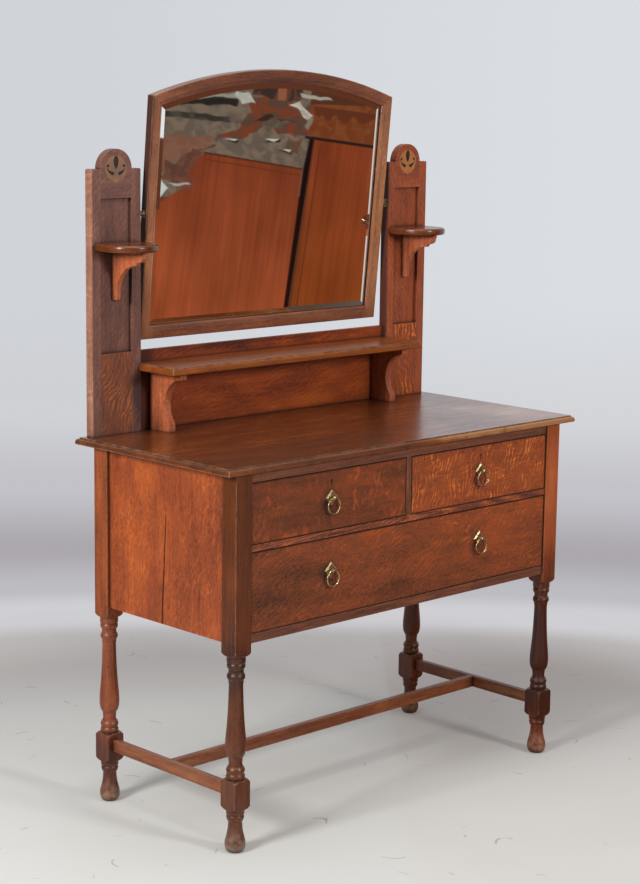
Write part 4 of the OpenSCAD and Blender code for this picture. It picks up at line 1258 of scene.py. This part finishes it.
@dataclass
class ReflectedRoom:
    """Painted wall of plain doors that only reflections see, as the glass of the mirror faces such a wall.

    Attributes:
        middle: Foot of the wall in metres.
        along: Direction of the wall, level.
        gain: How much brighter it is painted, against what the glass takes away.
        gap: Distance between two layers in metres.
        boards: Colour of the floor boards at its foot.
        shapes: What is painted on it, from the wall itself through doors, cornice and carving to the light.
    """

    middle: Point = (1.62, -1.42, 0.0)
    along: Point = (0.68835, 0.72537, 0.0)
    gain: float = 1.12
    gap: float = 0.002
    boards: str = "86462C"
    shapes: tuple[Shape, ...] = (
        Shape("room_wall", "5E3423", ((-1.5, 0.0), (1.5, 0.0), (1.5, 1.9), (-1.5, 1.9)), 0),
        Shape("room_upper", "756557", ((-0.6, 0.7), (0.05, 0.8), (0.05, 1.3), (-0.6, 1.3)), second="62544A"),
        Shape("left_door", "763621", (
            (-0.6, 0.0), (0.035, 0.0), (0.036, 0.427), (0.034, 0.889), (-0.286, 0.894)), 2,
              grained=True, lower="97492A"),
        Shape("left_door_end", "763621", (
            (-0.9, 0.0), (-0.59, 0.0), (-0.286, 0.894), (-0.319, 0.864), (-0.303, 0.801), (-0.367, 0.75),
            (-0.419, 0.708), (-0.9, 0.64)), 3, grained=True, lower="97492A"),
        Shape("right_door", "7C3820", ((0.057, 0.0), (0.6, 0.0), (0.6, 0.99), (0.063, 0.988)), 2,
              grained=True, lower="86411A"),
        Shape("cornice", "70381F", ((0.027, 0.999), (0.6, 1.002), (0.6, 1.14), (0.25, 1.141), (0.03, 1.1)), 2,
              second="7A4428"),
        Shape("cornice_shade", "523022", (
            (0.03, 1.1), (0.25, 1.125), (0.6, 1.13), (0.6, 1.3), (0.03, 1.3)), 3),
        Shape("scallops", "5E3020", (
            (0.045, 1.085), (0.054, 1.068), (0.064, 1.064), (0.075, 1.072), (0.084, 1.059), (0.093, 1.053),
            (0.103, 1.058), (0.108, 1.074), (0.117, 1.078), (0.13, 1.062), (0.149, 1.055), (0.162, 1.064),
            (0.17, 1.08), (0.177, 1.08), (0.192, 1.066), (0.209, 1.062), (0.222, 1.07), (0.237, 1.084),
            (0.25, 1.07), (0.26, 1.1), (0.05, 1.096)), 4),
        Shape("door_gap", "190D0C", (
            (0.035, 0.0), (0.052, 0.0), (0.05, 0.43), (0.058, 0.989), (0.044, 0.992), (0.037, 0.889)), 5),
        Shape("door_edge", "5E2C18", ((0.074, 0.0), (0.078, 0.0), (0.083, 0.97), (0.079, 0.97)), 4),
        Shape("door_head", "2A1A18", ((0.03, 0.989), (0.6, 0.992), (0.6, 1.0), (0.028, 0.998)), 4),
        Shape("left_head", "4A2414", ((-0.29, 0.892), (0.034, 0.887), (0.034, 0.892), (-0.286, 0.898)), 4),
        Shape("left_head_line", "6A3018", ((-0.28, 0.872), (0.034, 0.866), (0.034, 0.87), (-0.28, 0.876)), 4),
        Shape("carving", "753A26", (
            (-0.25, 0.932), (-0.216, 0.986), (-0.163, 1.019), (-0.15, 1.11), (-0.088, 1.127), (0.016, 1.078),
            (0.051, 1.002), (-0.021, 0.991), (-0.09, 1.022), (-0.118, 0.985), (-0.19, 0.974)), 3,
              carved=0.05, second="544035"),
        Shape("carving_lower", "733A26", ((-0.03, 0.93), (0.02, 0.945), (0.03, 0.985), (-0.03, 0.97)), 3,
              carved=0.03, second="5C4638"),
        Shape("carving_dark", "3C2521", ((-0.14, 1.03), (-0.06, 1.045), (-0.02, 1.03), (-0.1, 1.026)), 4,
              carved=0.02),
        Shape("carving_grey", "6B5D50", ((-0.11, 1.01), (-0.07, 1.05), (-0.03, 1.03), (-0.05, 1.0)), 4,
              carved=0.03, second="5A4A40"),
        Shape("carving_shade", "3A2C28", (
            (-0.151, 1.112), (-0.1, 1.098), (0.012, 1.106), (0.02, 1.2), (-0.16, 1.2)), 4,
              carved=0.02, second="5C3A2C"),
        Shape("carving_block", "8C5440", ((-0.08, 1.16), (-0.05, 1.16), (-0.047, 1.1), (-0.074, 1.097)), 5),
        Shape("left_glint", "A8A69F", ((-0.214, 1.1), (-0.165, 1.108), (-0.152, 1.085), (-0.186, 1.068)), 4,
              carved=0.02, second="C8C6C0"),
        Shape("right_glint", "A39A8C", (
            (-0.04, 1.09), (0.004, 1.1), (0.036, 1.07), (0.026, 1.052), (-0.005, 1.075)), 5,
              carved=0.015, second="C4BEB2"),
        Shape("right_glint_side", "7E7264", ((0.028, 1.074), (0.046, 1.05), (0.044, 1.02), (0.022, 1.03)), 5,
              carved=0.015),
        Shape("cornice_light", "A59C90", ((-0.005, 1.13), (0.09, 1.128), (0.1, 1.12), (0.003, 1.118)), 5,
              carved=0.006),
        Shape("moulding_light_1", "C4C0B8", ((-0.228, 0.95), (-0.184, 0.955), (-0.2, 0.947)), 5,
              carved=0.006),
        Shape("moulding_dark_1", "2A221D", ((-0.232, 0.946), (-0.18, 0.953), (-0.19, 0.943)), 4,
              carved=0.006),
        Shape("moulding_light_2", "C4C0B8", ((-0.098, 0.967), (-0.05, 0.973), (-0.064, 0.963)), 5,
              carved=0.006),
        Shape("moulding_dark_2", "2A221D", ((-0.105, 0.961), (-0.046, 0.97), (-0.05, 0.958)), 4,
              carved=0.006),
        Shape("moulding_light_3", "C4C0B8", ((-0.04, 0.944), (-0.012, 0.95), (-0.018, 0.94)), 5,
              carved=0.006),
        Shape("moulding_dark_3", "3A2E28", ((-0.05, 0.938), (-0.005, 0.95), (-0.008, 0.932)), 4,
              carved=0.006),
        Shape("beam_upper", "34302B", ((-0.6, 0.985), (-0.218, 1.002), (-0.216, 1.022), (-0.6, 1.0)), 3,
              carved=0.008, second="48423B"),
        Shape("beam_top", "262320", ((-0.6, 1.015), (-0.2, 1.06), (-0.2, 1.085), (-0.6, 1.03)), 3,
              carved=0.008),
        Shape("ceiling_strip", "8F897F", ((-0.6, 1.031), (-0.2, 1.086), (-0.2, 1.1), (-0.6, 1.042)), 3,
              carved=0.006),
        Shape("pink_wall", "7E5648", (
            (-0.6, 0.96), (-0.423, 0.945), (-0.251, 0.94), (-0.363, 0.858), (-0.416, 0.817), (-0.6, 0.8)), 2,
              carved=0.02, second="765040"),
        Shape("left_carving", "5A3C31", (
            (-0.42, 0.80), (-0.384, 0.85), (-0.266, 0.93), (-0.286, 0.894), (-0.321, 0.848), (-0.303, 0.801),
            (-0.37, 0.764)), 3, carved=0.04, second="6E4638"),
        Shape("left_moulding", "A8A49C", ((-0.39, 0.785), (-0.33, 0.79), (-0.32, 0.783), (-0.37, 0.776)), 5,
              carved=0.01),
        Shape("pale_corner", "C6C6C2", (
            (-0.6, 0.84), (-0.425, 0.79), (-0.385, 0.762), (-0.415, 0.722), (-0.6, 0.68)), 4, carved=0.01),
        Shape("pale_strip", "E6E8EA", ((-1.1, 0.88), (-0.6, 0.88), (-0.6, 1.12), (-1.1, 1.12)), 3),
        Shape("window_light", "C8C9C8", ((0.5, 0.0), (1.6, 0.0), (1.6, 1.3), (0.5, 1.3)), 5),
    )

    def build(self) -> None:
        """Paints the wall and the strip of boards at its foot."""
        along = Vector(self.along)
        away = along.cross(Vector((0.0, 0.0, 1.0)))
        turn = Matrix((along, (0.0, 0.0, 1.0), away)).transposed().to_4x4()
        for shape in self.shapes:
            mesh = bmesh.new()
            mesh.faces.new([mesh.verts.new((across, up, 0.0)) for across, up in shape.outline()])
            card = self._card(shape, mesh)
            card.matrix_world = Matrix.Translation(Vector(self.middle) - away * self.gap * shape.layer) @ turn
        mesh = bmesh.new()
        # From one end of the wall to the other, and 2 m out from it
        corners = [Vector(self.middle) + along * across - away * out
                   for across, out in ((-0.9, 0.0), (1.6, 0.0), (1.6, 2.0), (-0.9, 2.0))]
        mesh.faces.new([mesh.verts.new((corner.x, corner.y, 4 * MM)) for corner in corners])
        self._card(Shape("room_floor_boards", self.boards, ()), mesh)
        LOG.info("reflected room: %d painted shapes", len(self.shapes) + 1)

    def _card(self, shape: Shape, mesh: bmesh.types.BMesh) -> Piece:
        """Makes one painted shape that only reflections see.

        Args:
            shape: What is painted.
            mesh: Its mesh, freed here.

        Returns:
            The object.
        """
        material, tree = new_material(f"painted_{shape.name}")
        tint: Socket | tuple = linear(shape.colour)
        place = add(tree, "TexCoord").outputs["Object"]
        if shape.lower:
            height = add(tree, "SeparateXYZ", {0: place}).outputs[1]
            raised = add(tree, "MapRange", {"Value": height, 1: 0.3, 2: 0.95}).outputs[0]
            tint = add(tree, "Mix", {0: raised, 6: linear(shape.lower), 7: tint}, data_type="RGBA").outputs[2]
        if shape.second:
            blot = add(tree, "TexNoise", {
                "Vector": place, "Scale": noise_scale(41.67), "Detail": 3.0, "Distortion": 1.0,
            }).outputs["Fac"]
            blot = add(tree, "MapRange", {"Value": blot, 1: 0.44, 2: 0.58}).outputs[0]
            tint = add(tree, "Mix", {0: blot, 6: tint, 7: linear(shape.second)}, data_type="RGBA").outputs[2]
        if shape.grained:
            # Grain of a veneered door: streaks of 9 and 30 mm, as long as the door, and slow clouds of polish
            weight: Socket | float = 1.0
            # Size of each in metres, and how dark and how bright it makes the door
            layers = (((0.009, 0.4, 1.0), 0.88, 1.14), ((0.03, 0.6, 1.0), 0.9, 1.1),
                      ((0.16, 0.3, 1.0), 0.8, 1.22))
            for size, low, high in layers:
                lined = add(tree, "Mapping", {"Vector": place, "Scale": size},
                            vector_type="TEXTURE").outputs[0]
                streak = add(tree, "TexNoise", {"Vector": lined, "Scale": 1.0, "Detail": 2.0}).outputs["Fac"]
                streak = add(tree, "MapRange", {"Value": streak, 1: 0.3, 2: 0.7, 3: low, 4: high}).outputs[0]
                weight = add(tree, "Math", {0: streak, 1: weight}, operation="MULTIPLY").outputs[0]
            tint = add(tree, "VectorMath", {0: tint, "Scale": weight}, operation="SCALE").outputs[0]
        # Each card glows with its own painted colour, with the room's light and shade painted in, and is lit
        # by no lamp
        glow = add(tree, "Emission", {"Color": tint, "Strength": self.gain}).outputs[0]
        add(tree, "OutputMaterial", {"Surface": glow})
        card = new_piece(shape.name, mesh, material)
        for ray in ("camera", "diffuse", "transmission", "shadow"):
            setattr(card, f"visible_{ray}", False)
        return card


@dataclass
class Studio:
    """Floor, backdrop, lamps, world and camera.

    Attributes:
        camera_at: Place of the camera in metres.
        yaw: Heading of the camera from +Y towards +X, in degrees.
        pitch: How far it looks down, in degrees.
        roll: How far it leans, in degrees.
        lens_mm: Focal length on a 36 mm sensor.
        floor_radius: Radius of the flat floor.
        sweep: Radius of the curve from floor to backdrop.
        wall_height: Height of the backdrop.
        facets: Sides of the floor's and the backdrop's outline.
        far: Level direction from the room's open side to its lit far side.
        sight: Fall of the line of sight to the far edge of the floor, per metre.
        tones: Painted light and shade of the backdrop as (level, colour), from the near floor to the top of
            the wall. The level of a place is the height at which the line of sight through it passes the far
            floor's edge.
        edge: Distance at which the far floor has level 0.
        dim: Colour of the room's unlit side, which only reflections see.
        backing: Colour of the background where there is no backdrop.
        daylight: Colour of the world's light.
        scuff: Colour of scuffs on the floor.
        floor_gain: How much paler the floor is painted than it should look.
        deeper: How much farther out the open side of the backdrop stands, as a share of its distance.
    """

    camera_at: Point = (-2.9533, -3.0101, 1.4663)
    yaw: float = 44.077
    pitch: float = 9.977
    roll: float = 0.768
    lens_mm: float = 115.11
    floor_radius: float = 1.55
    sweep: float = 0.9
    wall_height: float = 4.2
    facets: int = 128
    far: Point = (0.696, 0.718, 0.0)
    sight: float = 0.257
    tones: tuple[tuple[float, str], ...] = (
        (-0.45, "CCCBC7"), (-0.3, "C8C7C4"), (-0.165, "BAB6B4"), (-0.105, "BBB7B7"), (-0.055, "CECDD1"),
        (-0.025, "CFCED2"), (0.03, "BDBCC1"), (0.15, "ABA7AD"), (0.36, "C3C2C8"), (0.62, "D1D3D7"),
        (1.05, "D6D9DE"))
    edge: float = 1.5
    dim: str = "54483F"
    backing: str = "D6D8DD"
    daylight: str = "F2F2F4"
    scuff: str = "6A6560"
    floor_gain: float = 1.08
    deeper: float = 1.0

    def build(self) -> None:
        """Makes everything around the object."""
        self._camera()
        self._world()
        self._floor()
        self._backdrop()
        self._lamps()
        LOG.info("studio: floor, backdrop, lamps and camera")

    def _camera(self) -> None:
        """Creates the camera at the photograph's viewpoint."""
        yaw, pitch, roll = (math.radians(angle) for angle in (self.yaw, self.pitch, self.roll))
        ahead = Vector((math.sin(yaw) * math.cos(pitch), math.cos(yaw) * math.cos(pitch), -math.sin(pitch)))
        level = Vector((math.cos(yaw), -math.sin(yaw), 0.0))
        above = level.cross(ahead)
        right = level * math.cos(roll) + above * math.sin(roll)
        up = above * math.cos(roll) - level * math.sin(roll)
        data = bpy.data.cameras.new("studio_camera")
        data.sensor_fit = "HORIZONTAL"
        data.sensor_width = 36.0
        data.lens = self.lens_mm
        data.clip_end = 60.0
        camera = bpy.data.objects.new("studio_camera", data)
        turn = Matrix((right, up, -ahead)).transposed().to_4x4()
        camera.matrix_world = Matrix.Translation(self.camera_at) @ turn
        bpy.context.scene.collection.objects.link(camera)
        bpy.context.scene.camera = camera

    @staticmethod
    def _looked_at(tree: Tree) -> tuple[Socket, Socket]:
        """Whether a ray is one that shows the background, and whether it is a reflection.

        Args:
            tree: The material's or the world's tree.

        Returns:
            1 for camera, glossy and transmission rays, and 1 for glossy rays.
        """
        path = add(tree, "LightPath").outputs
        seen = path["Is Camera Ray"]
        for kind in ("Is Glossy Ray", "Is Transmission Ray"):
            seen = add(tree, "Math", {0: seen, 1: path[kind]}, operation="MAXIMUM").outputs[0]
        return seen, path["Is Glossy Ray"]

    def _world(self) -> None:
        """Sets a soft even world light, with the pale background for what the camera sees."""
        world = bpy.data.worlds.new("studio_world")
        bpy.context.scene.world = world
        world.use_nodes = True
        tree = world.node_tree
        tree.nodes.clear()
        seen, _ = self._looked_at(tree)
        light = add(tree, "Background", {"Color": linear(self.daylight), "Strength": 0.23}).outputs[0]
        backing = add(tree, "Background", {"Color": linear(self.backing), "Strength": 1.0}).outputs[0]
        mixed = add(tree, "MixShader", {0: seen, 1: light, 2: backing}).outputs[0]
        add(tree, "OutputWorld", {"Surface": mixed})

    def _tone(self, tree: Tree, place: Socket) -> tuple[Socket, Socket]:
        """Paints light and shade into the floor and the backdrop, in level bands that are paler and darker
        with distance and height.

        Args:
            tree: The material's tree.
            place: Place in metres.

        Returns:
            The colour, and how far the place lies towards the lit far side.
        """
        to_right = (self.far[1], -self.far[0], 0.0)
        ahead = add(tree, "VectorMath", {0: place, 1: self.far}, operation="DOT_PRODUCT").outputs["Value"]
        aside = add(tree, "VectorMath", {0: place, 1: to_right}, operation="DOT_PRODUCT").outputs["Value"]
        # A rounded square's distance, so that the bands run straight across each side of the room
        total: Socket | float = 0.0
        for part in (ahead, aside):
            part = add(tree, "Math", {0: part}, operation="ABSOLUTE").outputs[0]
            part = add(tree, "Math", {0: part, 1: 4.0}, operation="POWER").outputs[0]
            total = add(tree, "Math", {0: total, 1: part}, operation="ADD").outputs[0]
        far_out = add(tree, "Math", {0: total, 1: 0.25}, operation="POWER").outputs[0]
        # The near floor keeps its own end of the ramp: there, only the way ahead counts
        signed = add(tree, "Math", {0: ahead, 1: far_out}, operation="MINIMUM").outputs[0]
        share = add(tree, "MapRange", {"Value": far_out, 1: 0.75, 2: 1.25}).outputs[0]
        out = add(tree, "Mix", {0: share, 2: signed, 3: far_out}).outputs[0]
        height = add(tree, "SeparateXYZ", {0: place}).outputs[2]
        slant = add(tree, "Math", {0: out, 1: self.sight, 2: -self.sight * self.edge},
                    operation="MULTIPLY_ADD").outputs[0]
        level = add(tree, "Math", {0: slant, 1: height}, operation="ADD").outputs[0]
        colour: Socket | tuple = linear(self.tones[0][1])
        for (start, _), (end, shade) in zip(self.tones, self.tones[1:]):
            share = add(tree, "MapRange", {"Value": level, 1: start, 2: end},
                        interpolation_type="SMOOTHSTEP").outputs[0]
            colour = add(tree, "Mix", {0: share, 6: colour, 7: linear(shade)}, data_type="RGBA").outputs[2]
        # On the open side the bands give way to the world's colour, so that no rim shows against it
        open_side = add(tree, "MapRange", {"Value": ahead, 1: -0.1, 2: -0.6},
                        interpolation_type="SMOOTHSTEP").outputs[0]
        outer = add(tree, "MapRange", {"Value": far_out, 1: 0.95, 2: 1.35},
                    interpolation_type="SMOOTHSTEP").outputs[0]
        plain = add(tree, "Math", {0: open_side, 1: outer}, operation="MULTIPLY").outputs[0]
        colour = add(tree, "Mix", {0: plain, 6: colour, 7: linear(self.backing)}, data_type="RGBA").outputs[2]
        # Painted light: the upper wall is a little brighter to the right of where the camera looks
        slope = add(tree, "MapRange", {"Value": aside, 1: -0.8, 2: 0.8, 3: -0.06, 4: 0.05}).outputs[0]
        upper = add(tree, "MapRange", {"Value": level, 1: 0.35, 2: 1.0}).outputs[0]
        gain = add(tree, "Math", {0: slope, 1: upper, 2: 1.0}, operation="MULTIPLY_ADD").outputs[0]
        return add(tree, "VectorMath", {0: colour, "Scale": gain}, operation="SCALE").outputs[0], ahead

    def _ring(self, mesh: bmesh.types.BMesh, radius: float, height: float) -> Ring:
        """Adds a level ring of points, farther out on the open side, where the lamps stand.

        Args:
            mesh: The mesh to add to.
            radius: Distance from the middle on the far side, in metres.
            height: Height in metres.

        Returns:
            The points.
        """
        ring = []
        for step in range(self.facets):
            angle = 2 * math.pi * step / self.facets
            open_side = -(math.cos(angle) * self.far[0] + math.sin(angle) * self.far[1])
            # An S curve, from nothing where the open side starts to all of it well within
            share = min(max((open_side - 0.1) / 0.6, 0.0), 1.0)
            out = radius * (1.0 + self.deeper * share * share * (3 - 2 * share))
            ring.append(mesh.verts.new((out * math.cos(angle), out * math.sin(angle), height)))
        return ring

    def _floor(self) -> None:
        """Lays the pale painted floor that takes the shadows, fading into the backdrop at its far edge."""
        material, tree = new_material("pale_studio_floor")
        place = add(tree, "TexCoord").outputs["Object"]
        colour, _ = self._tone(tree, place)
        # Clouds of wear in the paint, some 400 mm wide and too faint to catch the eye
        cloud = add(tree, "TexNoise", {
            "Vector": place, "Scale": noise_scale(384.6), "Detail": 3.0,
        }).outputs["Fac"]
        cloud = add(tree, "MapRange", {"Value": cloud, 1: 0.3, 2: 0.7, 3: 0.98, 4: 1.02}).outputs[0]
        colour = add(tree, "VectorMath", {0: colour, "Scale": cloud}, operation="SCALE").outputs[0]
        # Scuffs: curved hairlines 1 to 2 mm wide, where a slow noise crosses its middle, here and there
        line = add(tree, "TexNoise", {
            "Vector": place, "Scale": noise_scale(111.1), "Detail": 0.0,
        }).outputs["Fac"]
        line = add(tree, "Math", {0: line, 1: 0.5}, operation="SUBTRACT").outputs[0]
        line = add(tree, "Math", {0: line}, operation="ABSOLUTE").outputs[0]
        line = add(tree, "MapRange", {"Value": line, 1: 0.003, 2: 0.01, 3: 0.6, 4: 0.0}).outputs[0]
        where = add(tree, "TexNoise", {
            "Vector": place, "Scale": noise_scale(76.92), "Detail": 1.0,
        }).outputs["Fac"]
        where = add(tree, "MapRange", {"Value": where, 1: 0.63, 2: 0.67}).outputs[0]
        scuff = add(tree, "Math", {0: line, 1: where}, operation="MULTIPLY").outputs[0]
        paint = add(tree, "Mix", {0: scuff, 6: colour, 7: linear(self.scuff)}, data_type="RGBA").outputs[2]
        # The lamps leave the floor a little short of full light, which its paint makes up for
        paint = add(tree, "VectorMath", {0: paint, "Scale": self.floor_gain}, operation="SCALE").outputs[0]
        surface = add(tree, "BsdfPrincipled", {"Base Color": paint, "Roughness": 0.7}).outputs[0]
        # For camera and reflected rays the floor also glows with its painted colour, 18 % of it near the
        # middle and all of it at the rim, which lightens its shadows
        seen, _ = self._looked_at(tree)
        glow = add(tree, "Emission", {"Color": colour}).outputs[0]
        radius = add(tree, "VectorMath", {0: place}, operation="LENGTH").outputs["Value"]
        rim = add(tree, "MapRange", {"Value": radius, 1: 0.95, 2: 1.4, 3: 0.18, 4: 1.0},
                  interpolation_type="SMOOTHSTEP").outputs[0]
        rim = add(tree, "Math", {0: rim, 1: seen}, operation="MULTIPLY").outputs[0]
        surface = add(tree, "MixShader", {0: rim, 1: surface, 2: glow}).outputs[0]
        add(tree, "OutputMaterial", {"Surface": surface})
        mesh = bmesh.new()
        mesh.faces.new(self._ring(mesh, self.floor_radius, 0.0))
        new_piece("studio_floor", mesh, material)

    def _backdrop(self) -> None:
        """Raises the backdrop as a bowl round the floor, open to whoever looks from outside."""
        material, tree = new_material("studio_backdrop_paper")
        place = add(tree, "TexCoord").outputs["Object"]
        colour, ahead = self._tone(tree, place)
        seen, glossy = self._looked_at(tree)
        unlit = add(tree, "MapRange", {"Value": ahead, 1: 0.3, 2: 1.3, 3: 1.0, 4: 0.0},
                    interpolation_type="SMOOTHSTEP").outputs[0]
        unlit = add(tree, "Math", {0: unlit, 1: glossy}, operation="MULTIPLY").outputs[0]
        colour = add(tree, "Mix", {0: unlit, 6: colour, 7: linear(self.dim)}, data_type="RGBA").outputs[2]
        glow = add(tree, "Emission", {"Color": colour, "Strength": seen}).outputs[0]
        clear = add(tree, "BsdfTransparent").outputs[0]
        behind = add(tree, "NewGeometry").outputs["Backfacing"]
        surface = add(tree, "MixShader", {0: behind, 1: glow, 2: clear}).outputs[0]
        add(tree, "OutputMaterial", {"Surface": surface})
        radius, sweep, parts = self.floor_radius, self.sweep, 16
        turns = [math.radians(90 * step / parts) for step in range(1, parts + 1)]
        profile = [(radius, 0.0)]
        profile += [(radius + sweep * math.sin(turn), sweep * (1 - math.cos(turn))) for turn in turns]
        profile.append((radius + sweep, self.wall_height))
        mesh = bmesh.new()
        rings = [self._ring(mesh, out, height) for out, height in profile]
        for lower, upper in zip(rings, rings[1:]):
            # Upper ring first, so that the faces look inward
            bridge(mesh, upper, lower)
        backdrop = new_piece("studio_backdrop", mesh, material)
        backdrop.visible_shadow = False
        backdrop.visible_diffuse = False

    @staticmethod
    def _lamps() -> None:
        """Hangs the soft boxes: a large one above, the key at the left and a small one in front."""
        # Name, place, what it is aimed at, side in metres and power in watts
        plan = [
            ("key_softbox", (-3.6, -0.35, 2.0), (0.0, 0.0, 0.55), 0.8, 124.0),
            ("front_softbox", (0.5, -3.9, 1.95), (0.0, 0.0, 0.7), 0.6, 78.0),
            ("top_softbox", (-0.5, -0.4, 3.5), (-0.1, 0.0, 0.0), 2.2, 43.0),
        ]
        for name, at, aim, size, watts in plan:
            data = bpy.data.lights.new(name, "AREA")
            data.shape = "SQUARE"
            data.size = size
            data.energy = watts
            lamp = bpy.data.objects.new(name, data)
            turn = (Vector(aim) - Vector(at)).to_track_quat("-Z", "Y").to_matrix().to_4x4()
            lamp.matrix_world = Matrix.Translation(at) @ turn
            bpy.context.scene.collection.objects.link(lamp)


def main() -> None:
    """Builds the sub-assemblies in order."""
    logging.basicConfig(level=logging.INFO, format="%(name)s: %(message)s")
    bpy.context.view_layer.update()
    bpy.context.scene.view_settings.view_transform = "Standard"
    Carcass().build()
    for name, front, seed in (("drawer_left", LEFT_FRONT, 20), ("drawer_right", RIGHT_FRONT, 25),
                              ("drawer_long", LONG_FRONT, 30)):
        Drawer(name, front, seed).build()
    Fittings().build()
    Gallery().build()
    SwingMirror().build()
    ReflectedRoom().build()
    Studio().build()


if __name__ == "__main__":
    main()
